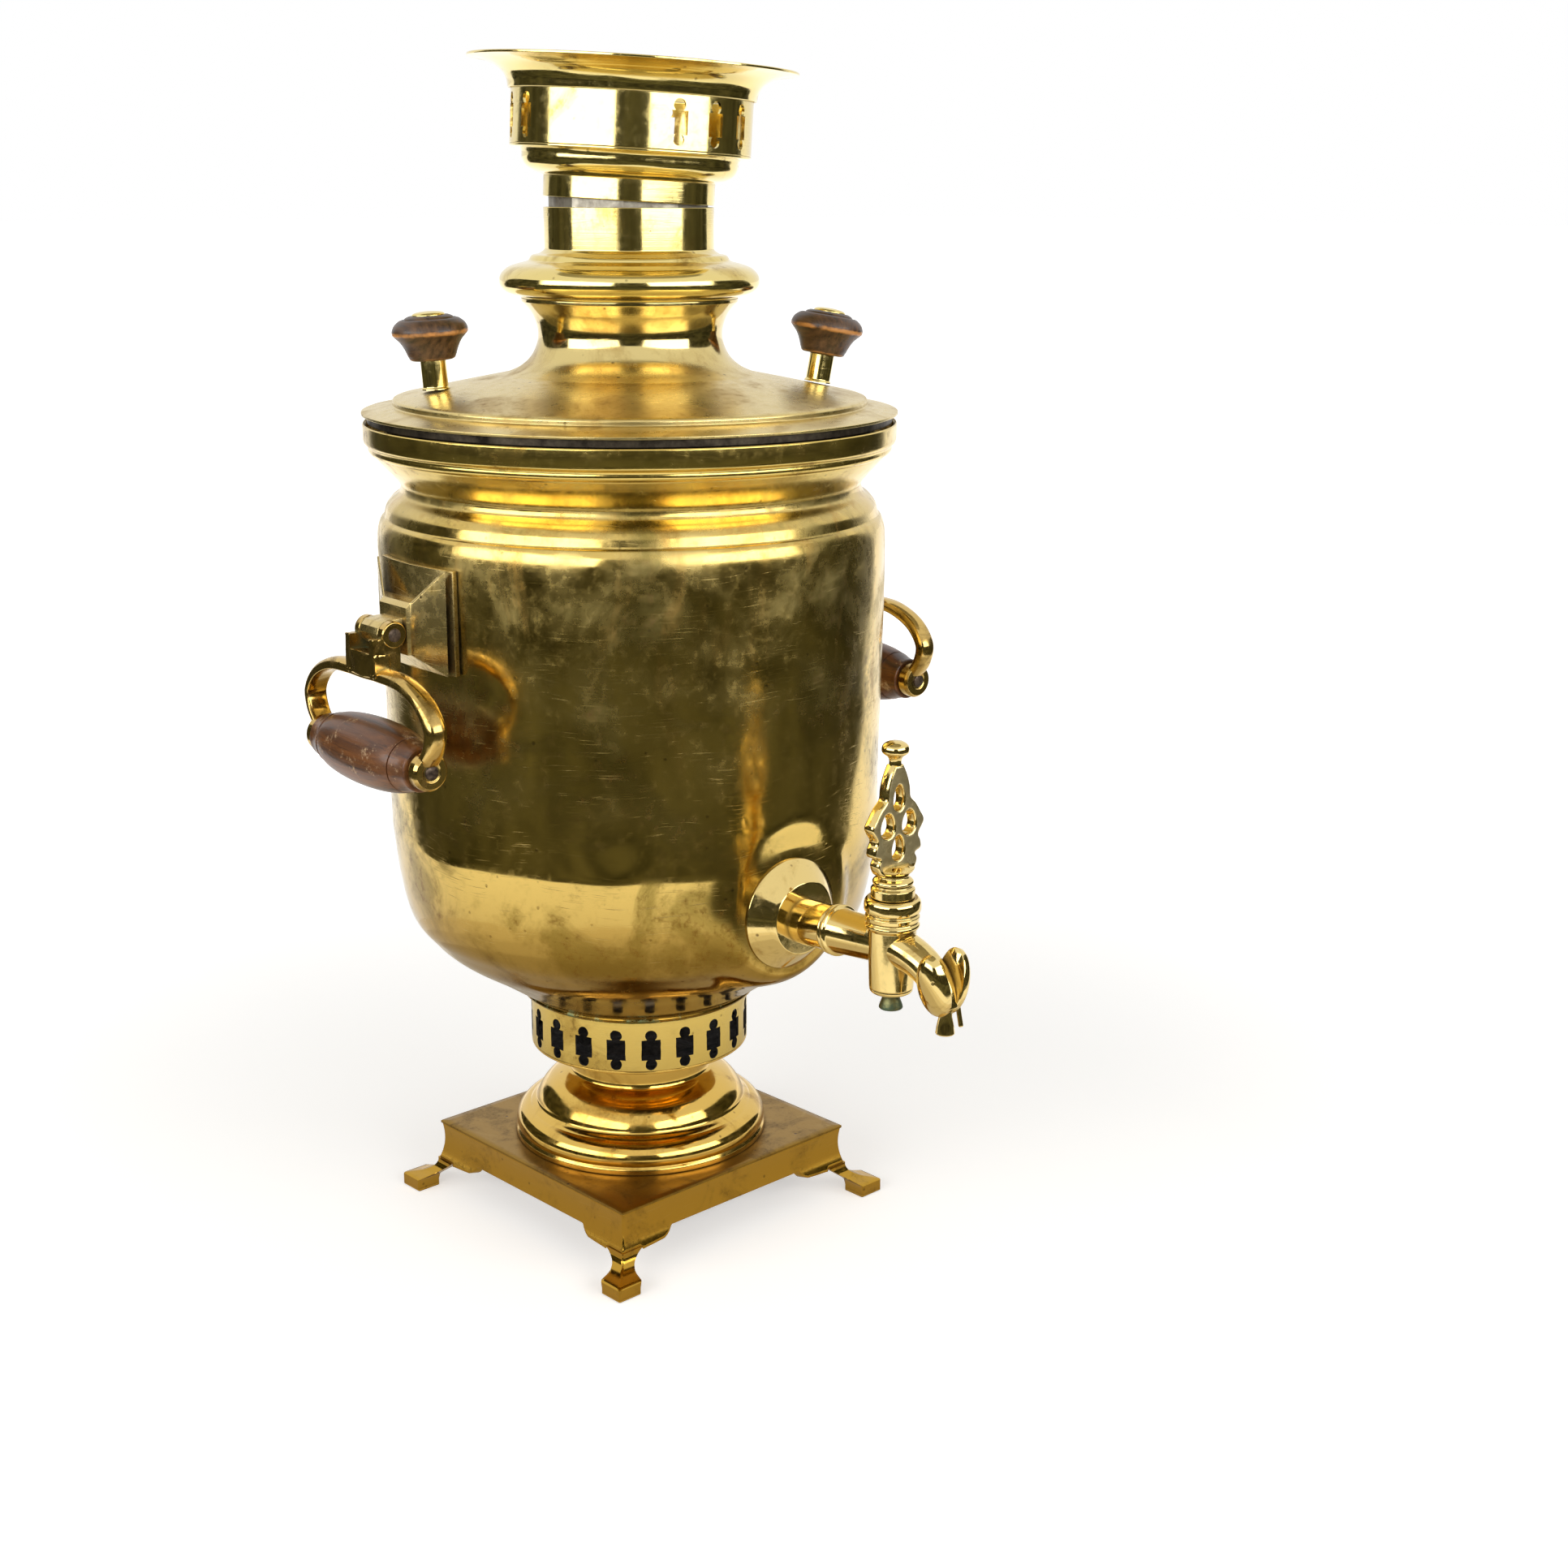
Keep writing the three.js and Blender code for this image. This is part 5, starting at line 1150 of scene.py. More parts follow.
def scratched(tree, place, look, amount):
    """Hair scratches: noise drawn out to threads about 0.7 mm wide and 20 mm long, in four
    directions, each kept to patches of its own, as a gritty cloth leaves them."""
    bend = add(tree, "TexNoise", {"Vector": place, "Scale": 30.0, "Detail": 0.0}).outputs["Color"]
    bent = add(tree, "VectorMath", {0: bend, 1: (0.007, 0.007, 0.007), 2: place},
               operation="MULTIPLY_ADD")
    patch = add(tree, "TexNoise", {"Vector": place, "Scale": 1000 / 24, "Detail": 2.0}).outputs["Color"]
    patch = add(tree, "SeparateXYZ", {0: patch}).outputs
    threads = None
    for k, turn in enumerate(((0.3, 0.9, 0.2), (1.1, -0.5, 0.8), (-0.8, 0.2, 1.9), (0.7, 1.4, -0.6))):
        drawn = add(tree, "Mapping", {"Vector": bent, "Rotation": turn, "Scale": (50.0, 50.0, 1500.0)})
        hair = add(tree, "TexNoise", {"Vector": drawn, "Scale": 1.0, "Detail": 2.0})
        thin = add(tree, "MapRange", {"Value": hair, "From Min": 0.66, "From Max": 0.78})
        where = add(tree, "MapRange", {"Value": patch[k % 3], "From Min": 0.44, "From Max": 0.62})
        kept = add(tree, "Math", {0: thin, 1: where}, operation="MULTIPLY")
        threads = add(tree, "Math", {0: threads, 1: kept}, operation="MAXIMUM") if threads else kept
    coat(tree, look, threads, "#E9CF8E", cover=0.5 * amount, rougher=0.22 * amount)
    look["height"] = add(tree, "Math", {0: threads, 1: -0.02 * amount}, operation="MULTIPLY")


def specked(tree, place, look, amount):
    """Small pits whose dark core is about 0.8 mm wide, one in some 9 mm."""
    cells = add(tree, "TexVoronoi", {"Vector": place, "Scale": 1000 / 9.0, "Randomness": 1.0})
    speck = add(tree, "MapRange", {"Value": cells, "From Min": 0.10, "From Max": 0.045})
    speck = add(tree, "Math", {0: speck, 1: amount}, operation="MULTIPLY")
    coat(tree, look, speck, "#4A3216", raised=-0.05)


print("a scratch is 1/1500 m, about", round(1000 / 1500, 2), "mm, wide")

# %% [markdown]
# What else marks brass differs from piece to piece: the lathe's rings, the haze of a wet cloth,
# dirt with painted shade in corners, and verdigris where water stands. Each is a function of its
# own, so that a piece can do without it.

# %% Turning marks, haze, dirt with painted shade, and verdigris
def ringed(tree, place, look, amount):
    """Turning marks: rings 0.8 mm apart, read from the radius and the height alone."""
    parts = add(tree, "SeparateXYZ", {0: place}).outputs
    flat = add(tree, "CombineXYZ", {0: parts[0], 1: parts[1]})
    radius = add(tree, "VectorMath", {0: flat}, operation="LENGTH").outputs["Value"]
    ring_place = add(tree, "CombineXYZ", {0: radius, 1: parts[2]})
    rings = add(tree, "TexNoise", {"Vector": ring_place, "Scale": 1250.0, "Detail": 3.0})
    coat(tree, look, rings, rougher=0.07 * amount, raised=0.012 * amount)


def hazed(tree, place, up, look, low, high):
    """Haze in patches of some 36 mm that dull the metal and make it paler, and smears that a wet
    cloth left, 17 mm wide and 70 mm long. Both set in between two heights."""
    rise = add(tree, "MapRange", {"Value": up, "From Min": low, "From Max": high})
    veil = add(tree, "TexNoise", {"Vector": place, "Scale": 1000 / 36, "Detail": 6.0,
                                  "Roughness": 0.58, "Distortion": 0.4})
    veil = add(tree, "MapRange", {"Value": veil, "From Min": 0.34, "From Max": 0.80},
               interpolation_type="SMOOTHSTEP")
    veil = add(tree, "Math", {0: veil, 1: rise}, operation="MULTIPLY")
    coat(tree, look, veil, "#CDBE86", cover=0.55, rougher=0.36)
    wiped = add(tree, "Mapping", {"Vector": place, "Rotation": (0.4, 0.5, 0.2),
                                  "Scale": (60.0, 60.0, 14.0)})
    smear = add(tree, "TexNoise", {"Vector": wiped, "Scale": 1.0, "Detail": 6.0, "Roughness": 0.65,
                                   "Distortion": 0.5})
    smear = add(tree, "MapRange", {"Value": smear, "From Min": 0.54, "From Max": 0.76, "To Max": 0.6})
    smear = add(tree, "Math", {0: smear, 1: rise}, operation="MULTIPLY")
    coat(tree, look, smear, "#B47C34", rougher=0.25)


def dirt_and_shade_in_corners(tree, look, amount, tone):
    """Dirt and painted shade in narrow corners, found by how much of the space within 4 mm is blocked."""
    # Painted shade: the ambient occlusion node darkens narrow corners toward a dark tone, on top of the
    # real dirt there.
    corner = add(tree, "AmbientOcclusion", {"Distance": 0.004}, samples=6).outputs["AO"]
    dirt_and_shade = add(tree, "MapRange", {"Value": corner, "From Min": 0.75, "From Max": 0.25,
                                  "To Max": amount})
    coat(tree, look, dirt_and_shade, tone, rougher=0.5)


def greened(tree, place, up, look, low, high):
    """Verdigris in patches of 13 mm that thins out between two heights."""
    low_share = add(tree, "MapRange", {"Value": up, "From Min": low, "From Max": high,
                                       "To Min": 0.62, "To Max": 0.0})
    patches = add(tree, "TexNoise", {"Vector": place, "Scale": 1000 / 13.0, "Detail": 7.0,
                                     "Roughness": 0.7})
    grown = add(tree, "Math", {0: patches, 1: low_share}, operation="ADD")
    grown = add(tree, "MapRange", {"Value": grown, "From Min": 1.02, "From Max": 1.12, "To Max": 0.8})
    coat(tree, look, grown, "#7E9A78", rougher=0.45)


print("turning marks are", 1000 / 1250, "mm apart")

# %% [markdown]
# The recipe lays the coats on one after another. A later coat hides an earlier one, so the dirt
# and painted shade in corners and the verdigris come last.

# %% Brass recipe
def brass(name, clean, film, stain, cover, cloud, gloss, dull, scratch=0.5, specks=0.3, spun=0.0,
          green=None, dents=0.0, seams=0.35, haze=None, shine=None, painted_low_reflection=None,
          grain=4.5, corner_dirt_and_shade="#3B2A14"):
    """Clean metal under a film: cover is the film's share of the surface, cloud the size of its
    clouds in mm, gloss and dull the two roughnesses, scratch, specks and spun the strength of
    scratches, specks and turning marks, green the heights in metres between which verdigris
    thins out, dents the height in mm of shallow unevenness, seams the strength of dirt and
    painted shade in narrow corners, haze the heights over which a pale haze and brown smears set
    in, shine the heights over which a satin surface turns to a polished one, painted_low_reflection
    the heights between which a painted brown reflection, strongest at the bottom, fades out, grain
    the size in mm of the stains, corner_dirt_and_shade the colour of that dirt and painted shade."""
    material, tree, shader, place = finish(name, {"Metallic": 1.0})
    up = add(tree, "SeparateXYZ", {0: place}).outputs[2]
    look = film_over_metal(tree, place, clean, film, stain, cover, cloud, gloss, dull, grain)
    scratched(tree, place, look, scratch)
    specked(tree, place, look, specks)
    if spun:
        ringed(tree, place, look, spun)
    if dents:
        waves = add(tree, "TexNoise", {"Vector": place, "Scale": 1000 / 26.0, "Detail": 2.0})
        coat(tree, look, waves, raised=dents)
    # Painted reflection: low on the piece the colour mixes toward brown, most at the bottom, standing for
    # a brass tray mirrored in the belly.
    if painted_low_reflection:
        fall = add(tree, "MapRange", {"Value": up, "From Min": painted_low_reflection[0], "From Max": painted_low_reflection[1],
                                      "To Min": 0.9, "To Max": 0.0}, interpolation_type="SMOOTHSTEP")
        coat(tree, look, fall, "#8E6A22")
    if haze:
        hazed(tree, place, up, look, *haze)
    if shine:
        rise = add(tree, "MapRange", {"Value": up, "From Min": shine[0], "From Max": shine[1],
                                      "To Min": 1.0, "To Max": 0.34}, interpolation_type="SMOOTHSTEP")
        look["rough"] = add(tree, "Math", {0: look["rough"], 1: rise}, operation="MULTIPLY")
    dirt_and_shade_in_corners(tree, look, seams, corner_dirt_and_shade)
    if green:
        greened(tree, place, up, look, *green)
    show(tree, shader, look, 0.001)
    return material


STEPS = (film_over_metal, scratched, specked, ringed, hazed, dirt_and_shade_in_corners, greened)
print("steps of the recipe:", [step.__name__ for step in STEPS])

# %% [markdown]
# ## The brass finishes
#
# The crown and the neck are spun sheet that hands polish most, so they are the brightest. The
# collar and the draught ring are wiped along their turning marks. The tank's film is olive and
# brown with many scratches, with a painted brown reflection low down, and hazed above. The lid's
# top is satin where cloths only rub.

# %% Spun and raised brass
polished = brass("hand_polished_spun_brass", "#E8D288", "#CBAF60", "#8E6E32", cover=0.30, cloud=34,
                 gloss=0.085, dull=0.17, scratch=0.4, specks=0.5, spun=0.5, seams=0.7, dents=0.05)
raised = brass("raised_brass_with_olive_film", "#D9BA68", "#9A8542", "#7A5826", cover=0.56, cloud=42,
               gloss=0.09, dull=0.21, scratch=0.75, specks=0.5, green=(0.102, 0.122), dents=0.16,
               seams=0.5, haze=(0.19, 0.30), painted_low_reflection=(0.105, 0.215))
satin = brass("satin_spun_brass", "#DBC584", "#C0A564", "#A0804A", cover=0.40, cloud=30,
              gloss=0.24, dull=0.36, scratch=0.4, specks=0.6, spun=1.0, seams=0.6, shine=(0.386, 0.400))
combed = brass("wiped_spun_brass", "#DFC36E", "#C0A152", "#85662E", cover=0.34, cloud=30,
               gloss=0.13, dull=0.22, scratch=0.4, specks=0.4, spun=1.0, seams=0.7)
turned_cast = brass("turned_cast_brass", "#DAB45C", "#B48C3E", "#7E5A26", cover=0.36, cloud=24,
                    gloss=0.08, dull=0.2, scratch=0.3, specks=0.5, spun=0.7, seams=0.8)
use(polished, neck, seat, crown_ring, rim)
use(polished, *[o for o in knob_pieces if not o.name.startswith("wood")])
use(raised, tank)
use(satin, lid_sheet)
use(combed, collar, draught)
use(turned_cast, pedestal)
print("brass materials:", len(bpy.data.materials))

# %% [markdown]
# The plinth's plate is matt and speckled, and its skirt and feet keep an orange film. The tap is
# filed bright, the brackets are filed coarsely, and the bails hold green dirt in their corners.

# %% Plate and cast brass
matt = brass("matt_speckled_plate_brass", "#94722C", "#82642A", "#5E481C", cover=0.50, cloud=16,
             gloss=0.28, dull=0.40, scratch=0.4, specks=0.9, seams=0.9, grain=1.6)
orange = brass("dip_lacquered_orange_brass", "#BC9236", "#A68030", "#7A5A22", cover=0.40, cloud=22,
               gloss=0.11, dull=0.2, scratch=0.35, specks=0.5, seams=0.9, grain=2.0)
cast = brass("filed_cast_brass", "#E6CB84", "#C6A660", "#8A6A34", cover=0.30, cloud=16,
             gloss=0.08, dull=0.2, scratch=0.25, specks=0.7, dents=0.03, seams=0.8)
worn_cast = brass("worn_cast_brass_with_brown_film", "#CFAE66", "#947A42", "#5F4824", cover=0.48,
                  cloud=15, gloss=0.12, dull=0.34, scratch=0.4, specks=0.8, dents=0.04, seams=1.0,
                  corner_dirt_and_shade="#76886A")
filed = brass("coarsely_filed_cast_brass", "#D6BE80", "#A08A4E", "#5F4824", cover=0.40, cloud=11,
              gloss=0.24, dull=0.40, scratch=1.0, specks=0.8, dents=0.03, seams=1.0)
use(matt, plate)
use(orange, skirt, *feet)
use(cast, shield, casting, key)
use(filed, handles["bracket_left"], handles["bracket_right"])
use(worn_cast, handles["bail_left"], handles["bail_right"])
print("brass materials:", len(bpy.data.materials))

# %% [markdown]
# ## Tin, iron and soot
#
# The water side of a samovar is wiped with molten tin, which dulls to a cloudy grey. The flue
# sees fire, and its grate is cast iron, scaled and sooty. The hinge pins are forged iron rivets,
# dark brown with rubbed, brighter heads.

# %% Grey metals
def grey_metal(name, light, dark, grain, metallic, low_rough, high_rough, relief):
    """Two tones mixed by noise of a grain size in mm, which also sets roughness, and the relief
    in metres."""
    material, tree, shader, place = finish(name, {"Metallic": metallic})
    noise = add(tree, "TexNoise", {"Vector": place, "Scale": 1000 / grain, "Detail": 8.0,
                                   "Roughness": 0.66})
    share = add(tree, "MapRange", {"Value": noise, "From Min": 0.35, "From Max": 0.65})
    fine = add(tree, "TexNoise", {"Vector": place, "Scale": 6000 / grain, "Detail": 4.0})
    look = {"colour": linear(dark), "height": noise,
            "rough": add(tree, "MapRange", {"Value": share, "To Min": high_rough, "To Max": low_rough})}
    coat(tree, look, share, light)
    coat(tree, look, fine, raised=0.4)
    show(tree, shader, look, relief)
    return material


tin = grey_metal("wiped_tin_on_sheet", "#BDB6A6", "#7C7468", 12, 0.9, 0.35, 0.6, 0.00012)
soot = grey_metal("scaled_cast_iron_with_soot", "#3C3733", "#171412", 5, 0.3, 0.6, 0.9, 0.0003)
rivet_iron = grey_metal("forged_iron_rivet", "#6A5A4C", "#2C221C", 2.2, 0.7, 0.35, 0.6, 0.00012)
# The lid band's tin, seen in the narrow gap under the lid's rim, is near black, far darker than the tank's
# tin.
band_tin = grey_metal("near_black_tin_on_the_lid_band", "#5C5346", "#241F19", 9, 0.9, 0.4, 0.6, 0.00008)
use(tin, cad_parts["flue_tube"])
use(band_tin, band)
use(soot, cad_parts["fire_grate"])
use(rivet_iron, *[handles[k + s] for k in ("pin_", "rivet_") for s in ("left", "right")])
print("grey metals:", [m.name for m in (tin, soot, rivet_iron, band_tin)])

# %% [markdown]
# ## Two finishes on one piece
#
# A sheet is tinned or sooty on one side and brass on the other. The faces that look inward are
# told from the rest by their middle and their normal, and take a second material. The leaf's
# flat faces keep a dull cast skin where its filed edge is bright.

# %% Inner sides and the leaf's faces
def faces_of(piece):
    """Radius and height of each face's middle in mm, and how far its normal points outward."""
    middle, normal = np.empty((2, len(piece.data.polygons) * 3))
    piece.data.polygons.foreach_get("center", middle)
    piece.data.polygons.foreach_get("normal", normal)
    middle, normal = (middle.reshape(-1, 3) - AXIS) * 1000, normal.reshape(-1, 3)
    radius = np.hypot(middle[:, 0], middle[:, 1])
    outward = (normal[:, :2] * middle[:, :2]).sum(1) / np.maximum(radius, 0.01)
    return radius, middle[:, 2], outward


def partly(piece, material, chosen):
    """The chosen faces take a second material."""
    piece.data.materials.append(material)
    piece.data.polygons.foreach_set("material_index", chosen.astype(np.int32))
    return int(chosen.sum())


radius, level, outward = faces_of(tank)
order = np.argsort(tank_outer[:, 1])
wall = np.interp(level, tank_outer[order, 1], tank_outer[order, 0])
inner_side = (radius < wall - 1) & (outward < 0.3) & (level > 105)
print("tinned faces inside the tank:", partly(tank, tin, inner_side))
radius, level, outward = faces_of(draught)
print("sooty faces inside the draught band:", partly(draught, soot, (radius < 50) & (outward < 0.3)))
radius, level, outward = faces_of(pedestal)
flange_top = (level > 79.8) & (radius < 49.5)
print("sooty faces on the foot:", partly(pedestal, soot, flange_top | (outward < -0.2)))

tail_metal = brass("green_corroded_brass_tail", "#7C7A52", "#5C6A52", "#3E3A2A", cover=0.7, cloud=4,
                   gloss=0.4, dull=0.6, scratch=0.2, specks=0.8, seams=0.6)
use(tail_metal, tail)
leaf_skin = brass("dull_cast_skin_of_the_leaf", "#D2C194", "#AC9C70", "#786848", cover=0.45, cloud=7,
                  gloss=0.36, dull=0.5, scratch=0.3, specks=0.8, seams=1.0, grain=2.0,
                  corner_dirt_and_shade="#8C9C80")
radius, level, outward = faces_of(key)
leaf_sides = (np.abs(outward) > 0.93) & (level > 202.5) & (level < 244)
print("dull faces on the leaf:", partly(key, leaf_skin, leaf_sides))

# %% [markdown]
# ## Wood
#
# The grips are walnut under old varnish that has worn through in pale patches. The lid's knobs
# are a dense wood stained nearly black, with the orange ground showing on the rim that fingers
# touch. The grips' grain is drawn as noise stretched along y, their turning axis, with a cell
# 1.1 mm wide and 22 mm long, so that the pores are about half that size.

# %% Walnut
def walnut():
    """Grain along y, wide bands of growth about 6 mm apart, worn patches 9 mm across."""
    coating = {"Coat Weight": 0.22, "Coat Roughness": 0.14}
    material, tree, shader, place = finish("varnished_walnut_worn_through", coating)
    drawn = add(tree, "Mapping", {"Vector": place, "Scale": (900.0, 45.0, 900.0)})
    pores = add(tree, "TexNoise", {"Vector": drawn, "Scale": 1.0, "Detail": 3.0, "Roughness": 0.6})
    wide = add(tree, "Mapping", {"Vector": place, "Scale": (170.0, 12.0, 170.0)})
    growth = add(tree, "TexNoise", {"Vector": wide, "Scale": 1.0, "Detail": 4.0, "Distortion": 0.8})
    rubbed = add(tree, "TexNoise", {"Vector": place, "Scale": 1000 / 9.0, "Detail": 9.0,
                                    "Roughness": 0.85})
    bands = add(tree, "MapRange", {"Value": growth, "From Min": 0.3, "From Max": 0.7})
    pore = add(tree, "MapRange", {"Value": pores, "From Min": 0.55, "From Max": 0.7, "To Max": 0.7})
    worn = add(tree, "MapRange", {"Value": rubbed, "From Min": 0.57, "From Max": 0.64, "To Max": 0.8})
    look = {"colour": linear("#3A1F0E"), "height": pores,
            "rough": add(tree, "MapRange", {"Value": worn, "To Min": 0.42, "To Max": 0.66})}
    coat(tree, look, bands, "#7C4A1E")
    coat(tree, look, pore, "#2A180C")
    coat(tree, look, worn, "#C0A078")
    show(tree, shader, look, 0.00012)
    return material


use(walnut(), handles["grip_left"], handles["grip_right"])
print("grips:", handles["grip_left"].data.materials[0].name)

# %% [markdown]
# The knobs' wear follows their turned shape, and no pattern in space does that. So it is worked out
# for each point of the mesh, as an attribute that the finish reads.

# %% Blackened wood
def ebonised():
    """Dark stain over orange wood, whose fibres also set roughness and relief: the stain is
    rubbed off where the attribute rim_wear says so."""
    coating = {"Coat Weight": 0.15, "Coat Roughness": 0.2}
    material, tree, shader, place = finish("ebonised_turned_wood", coating)
    grain = add(tree, "Mapping", {"Vector": place, "Scale": (500.0, 60.0, 300.0)})
    fibres = add(tree, "TexNoise", {"Vector": grain, "Scale": 1.0, "Detail": 5.0, "Roughness": 0.65})
    share = add(tree, "MapRange", {"Value": fibres, "From Min": 0.35, "From Max": 0.7})
    rim_wear = add(tree, "Attribute", attribute_name="rim_wear").outputs["Fac"]
    patch = add(tree, "TexNoise", {"Vector": place, "Scale": 1000 / 5.0, "Detail": 5.0})
    wear = add(tree, "Math", {0: rim_wear, 1: patch}, operation="MULTIPLY")
    wear = add(tree, "MapRange", {"Value": wear, "From Min": 0.24, "From Max": 0.5, "To Max": 0.95})
    look = {"colour": linear("#2C1C10"), "height": fibres,
            "rough": add(tree, "MapRange", {"Value": share, "To Min": 0.36, "To Max": 0.55})}
    coat(tree, look, share, "#6A4A2C")
    coat(tree, look, wear, "#C98A48")
    show(tree, shader, look, 0.00015)
    return material


def rim_wear_of(points, turn, lean):
    """Wear from 0 to 1 on a knob: a bell curve of the height over the rim, at 23.7 mm, and a
    thinner one over the lower edge, at 13 mm, once the points stand upright again."""
    x, y, z = swing(swing(points, -turn, X, Y) - LID_SPOT, -lean, Z, X).T
    rim = np.exp(-((z - 23.7) / 1.3) ** 2)
    lower_edge = 0.7 * np.exp(-((z - 13) / 0.8) ** 2) * (np.hypot(x, y) > 8)
    return np.clip(rim + lower_edge, 0, 1).astype(np.float32)


black_wood = ebonised()
for side, (turn, lean) in KNOBS.items():
    knob = next(o for o in knob_pieces if o.name == "wood_knob_" + side)
    use(black_wood, knob)
    attribute = knob.data.attributes.new("rim_wear", "FLOAT", "POINT")
    local = (positions(knob.data) - AXIS) * 1000
    attribute.data.foreach_set("value", rim_wear_of(local, turn, lean))
print("materials:", [m.name for m in bpy.data.materials if m.users])

# %% [markdown]
# ## Floor, light and camera
#
# Polished metal shows its surroundings, so the studio is part of the look. Two wide softboxes
# stand to the left and right of the camera, dark drapes hang farther off round the front and
# the sides, and behind the samovar everything is white, which gives pale edges. The floor lifts
# what the camera and reflections see toward white and keeps the shadow.

# %% Surfaces that glow
def seen_straight(tree):
    """1 for rays from the camera, off a mirror or through glass, 0 for scattered light."""
    ray = add(tree, "LightPath").outputs
    either = add(tree, "Math", {0: ray["Is Camera Ray"], 1: ray["Is Glossy Ray"]}, operation="MAXIMUM")
    return add(tree, "Math", {0: either, 1: ray["Is Transmission Ray"]}, operation="MAXIMUM")


def lifted(name, colour, lift, far_lift, fold_shade_colour=None):
    """A diffuse surface that adds light of its own to what cameras and mirrors see: one amount
    near the samovar, so that its shadow stays, and another beyond 1.1 m, so that a floor ends in
    white. fold_shade_colour is a second colour, mixed in by noise with spots of some 200 mm: painted
    shade of folds on a flat sheet."""
    material = bpy.data.materials.new(name)
    material.use_nodes = True
    tree = material.node_tree
    tree.nodes.clear()
    place = add(tree, "TexCoord").outputs["Object"]
    away = add(tree, "VectorMath", {0: place}, operation="LENGTH").outputs["Value"]
    rise = add(tree, "MapRange", {"Value": away, "From Min": 0.18, "From Max": 1.1, "To Min": lift,
                                  "To Max": far_lift}, interpolation_type="SMOOTHSTEP")
    strength = add(tree, "Math", {0: seen_straight(tree), 1: rise}, operation="MULTIPLY")
    glow = add(tree, "Emission", {"Color": (1, 1, 1, 1), "Strength": strength})
    spots = add(tree, "TexNoise", {"Vector": place, "Scale": 5.0, "Detail": 3.0})
    spots = add(tree, "MapRange", {"Value": spots, "From Min": 0.35, "From Max": 0.65})
    shade = add(tree, "Mix", {"Factor": spots, "A": linear(colour), "B": linear(fold_shade_colour or colour)},
                data_type="RGBA")
    plain = add(tree, "BsdfDiffuse", {"Color": shade})
    both = add(tree, "AddShader", {0: plain, 1: glow})
    add(tree, "OutputMaterial", {"Surface": both})
    return material


def sheet_of(name, rows, material):
    """A plain surface from rows of points in metres, with one material."""
    points = np.array(rows, float)
    mesh = bpy.data.meshes.new(name)
    mesh.from_pydata(points.reshape(-1, 3), [], grid_faces(*points.shape[:2], False, False))
    mesh.materials.append(material)
    made = placed(name, mesh)
    return made


floor = sheet_of("floor", [[(x, y, 0) for y in (-30, 30)] for x in (-30, 30)],
                 lifted("pale_paper_floor", "#EAE8E4", 0.46, 1.0))
print("floor is", floor.dimensions.x, "m wide")

# %% [markdown]
# The drapes are grey-green cloths, flat sheets mottled with painted shade of folds, that keep the
# front of the tank deep and olive. The upright one is cut lower toward its ends, and the one on the
# floor starts farther off there. Flat tan cards round the feet warm what the belly mirrors, and a
# grey cloth above calms the lid. Only reflections see any of them.

# %% Drapes and cards
def studio_point(degrees, radius, height):
    """A point at an angle from the camera's side, measured about the body's axis."""
    a = math.radians(CAMERA_TURN + degrees) - math.pi / 2
    return (AXIS[0] + radius * math.cos(a), AXIS[1] + radius * math.sin(a), height)


DRAPE_RADIUS = 1.7
# Painted shade: the darker second colour, mixed in by noise, stands for the shade of folds on the flat
# drape.
drape_material = lifted("grey_green_drape", "#6A6850", 0.0, 0.0, fold_shade_colour="#3A3A28")
span = np.linspace(-146, 136, 115)
toward_end = np.abs((span + 5) / 141) ** 8
top_edge = 1 - 0.9 * toward_end
near_edge = 0.49 + 1.1 * toward_end + 0.035 * np.sin(np.radians(5 * span + 40))
drape = sheet_of("drape", [[studio_point(a, DRAPE_RADIUS, z) for z in (0.0, top)]
                           for a, top in zip(span, top_edge)], drape_material)
drape_floor = sheet_of("drape_floor", [[studio_point(a, r, 0.002) for r in (near, DRAPE_RADIUS)]
                                       for a, near in zip(span, near_edge)], drape_material)
circle = np.linspace(0, 360, 49)
CARDS = [(0.02, 0.24, 0.36), (0.24, 0.30, 0.54), (0.30, 0.35, 0.70)]  # inner, outer radius, glow
cards = [sheet_of(f"card_below_{k}", [[studio_point(a, r, 0.001) for r in (inner, outer)] for a in circle],
                  lifted(f"tan_card_below_{k}", "#A08E60", lift, lift))
         for k, (inner, outer, lift) in enumerate(CARDS)]
drape_above = sheet_of("drape_above", [[studio_point(a, r, 1.5) for r in (0.05, 0.75)] for a in circle],
                       lifted("grey_cloth_above", "#B4AE98", 0.0, 0.0))
for cloth in (drape, drape_floor, drape_above, *cards):
    cloth.visible_camera = False
    cloth.visible_diffuse = False
    cloth.visible_shadow = False
print("cloths and cards:", [o.name for o in (drape, drape_floor, drape_above, *cards)])

# %% [markdown]
# The softboxes draw the white bars on the neck and the crown. Their strength grows with their area,
# so that a wider box isn't dimmer. The white sky is full to the camera and to reflections and much
# weaker as light, or it would wash out the shadow.

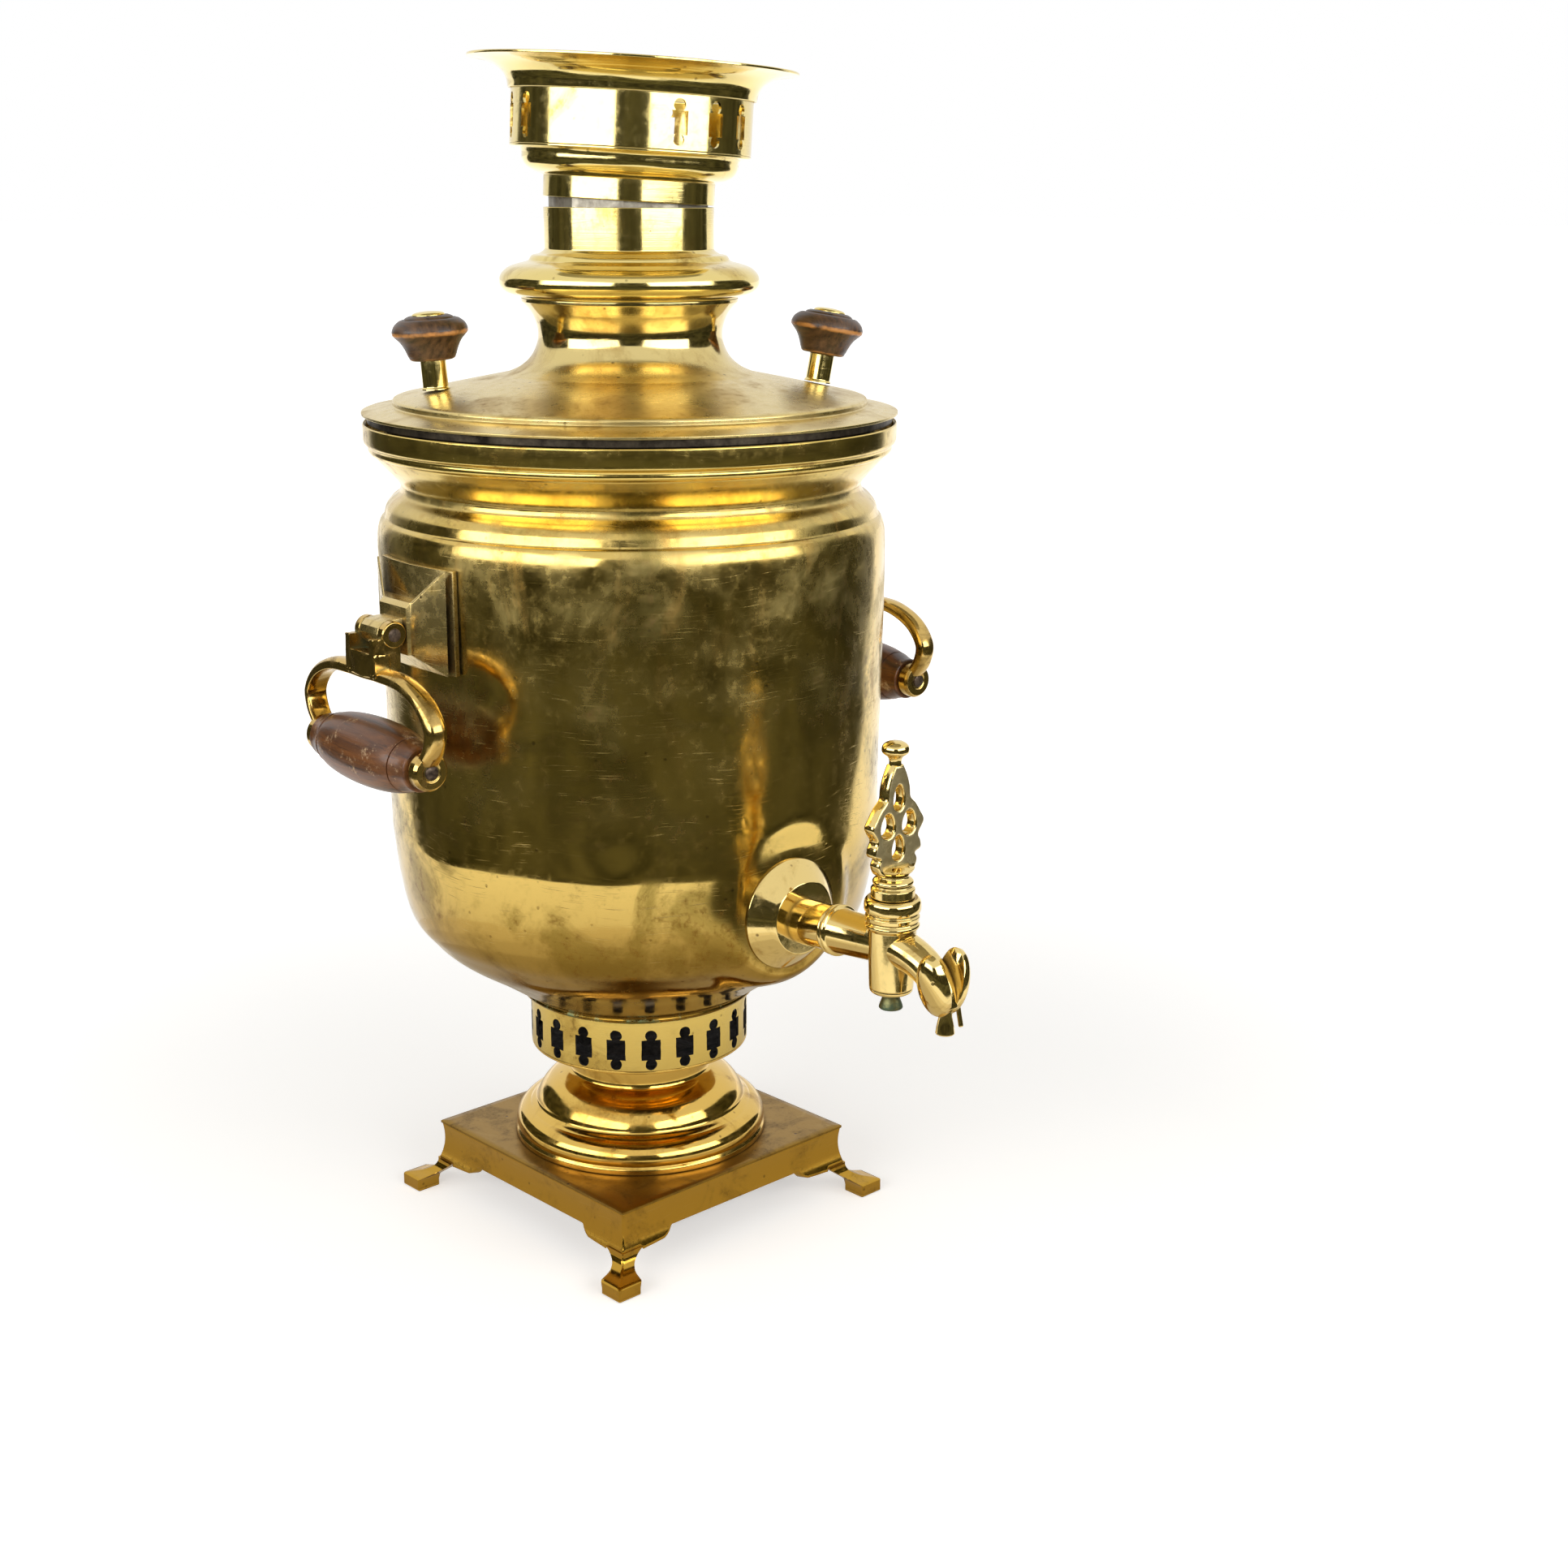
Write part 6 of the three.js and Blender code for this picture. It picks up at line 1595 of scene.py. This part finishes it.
# %% Softboxes and white surroundings
def softbox(name, degrees, width):
    """An area lamp between 0.4 and 0.95 m high and 1.3 m away, turned to face the samovar."""
    low, high = 0.40, 0.95
    lamp = bpy.data.lights.new(name, "AREA")
    lamp.shape, lamp.size, lamp.size_y = "RECTANGLE", width, high - low
    lamp.energy = 4.2 * width * (high - low) * math.pi
    made = placed(name, lamp)
    made.location = studio_point(degrees, 1.3, (low + high) / 2)
    toward = Vector((AXIS[0], AXIS[1], 0.4)) - made.location
    made.rotation_euler = toward.to_track_quat("-Z", "Y").to_euler()
    return made


boxes = [softbox("softbox_left", -48.5, 1.75), softbox("softbox_right", 46, 1.5)]
world = bpy.data.worlds.new("white_studio")
bpy.context.scene.world = world
world.use_nodes = True
sky_tree = world.node_tree
sky_tree.nodes.clear()
strength = add(sky_tree, "MapRange", {"Value": seen_straight(sky_tree), "To Min": 0.32, "To Max": 1.0})
sky = add(sky_tree, "Background", {"Color": (1, 1, 1, 1), "Strength": strength})
add(sky_tree, "OutputWorld", {"Surface": sky})
print("softboxes in watts:", [round(box.data.energy, 1) for box in boxes])

# %% [markdown]
# The camera was worked out from the samovar's own rings: how flat they look and how far apart they
# stand. It looks down by some 15 degrees with a 50 mm lens.

# %% Camera
PAN, TILT, ROLL = math.radians(4.0), math.radians(15.18), math.radians(0.29)
camera_data = bpy.data.cameras.new("camera")
camera_data.lens, camera_data.sensor_width = 50.2, 36.0
camera_data.clip_start, camera_data.clip_end = 0.01, 100
camera = placed("camera", camera_data)
camera.location = (-0.5740, AXIS[1] - 0.7757, 0.4620)
ahead = np.array([math.sin(PAN) * math.cos(TILT), math.cos(PAN) * math.cos(TILT), -math.sin(TILT)])
right = np.array([math.cos(PAN), -math.sin(PAN), 0.0])
above = np.cross(right, ahead)
rolled_right = right * math.cos(ROLL) + above * math.sin(ROLL)
rolled_above = above * math.cos(ROLL) - right * math.sin(ROLL)
axes = swing(np.stack([rolled_right, rolled_above, -ahead]), CAMERA_TURN, X, Y)
camera.rotation_euler = Matrix(axes.T.tolist()).to_euler()
bpy.context.scene.camera = camera
bpy.context.scene.view_settings.view_transform = "Standard"
print("camera stands at", [round(c, 3) for c in camera.location])
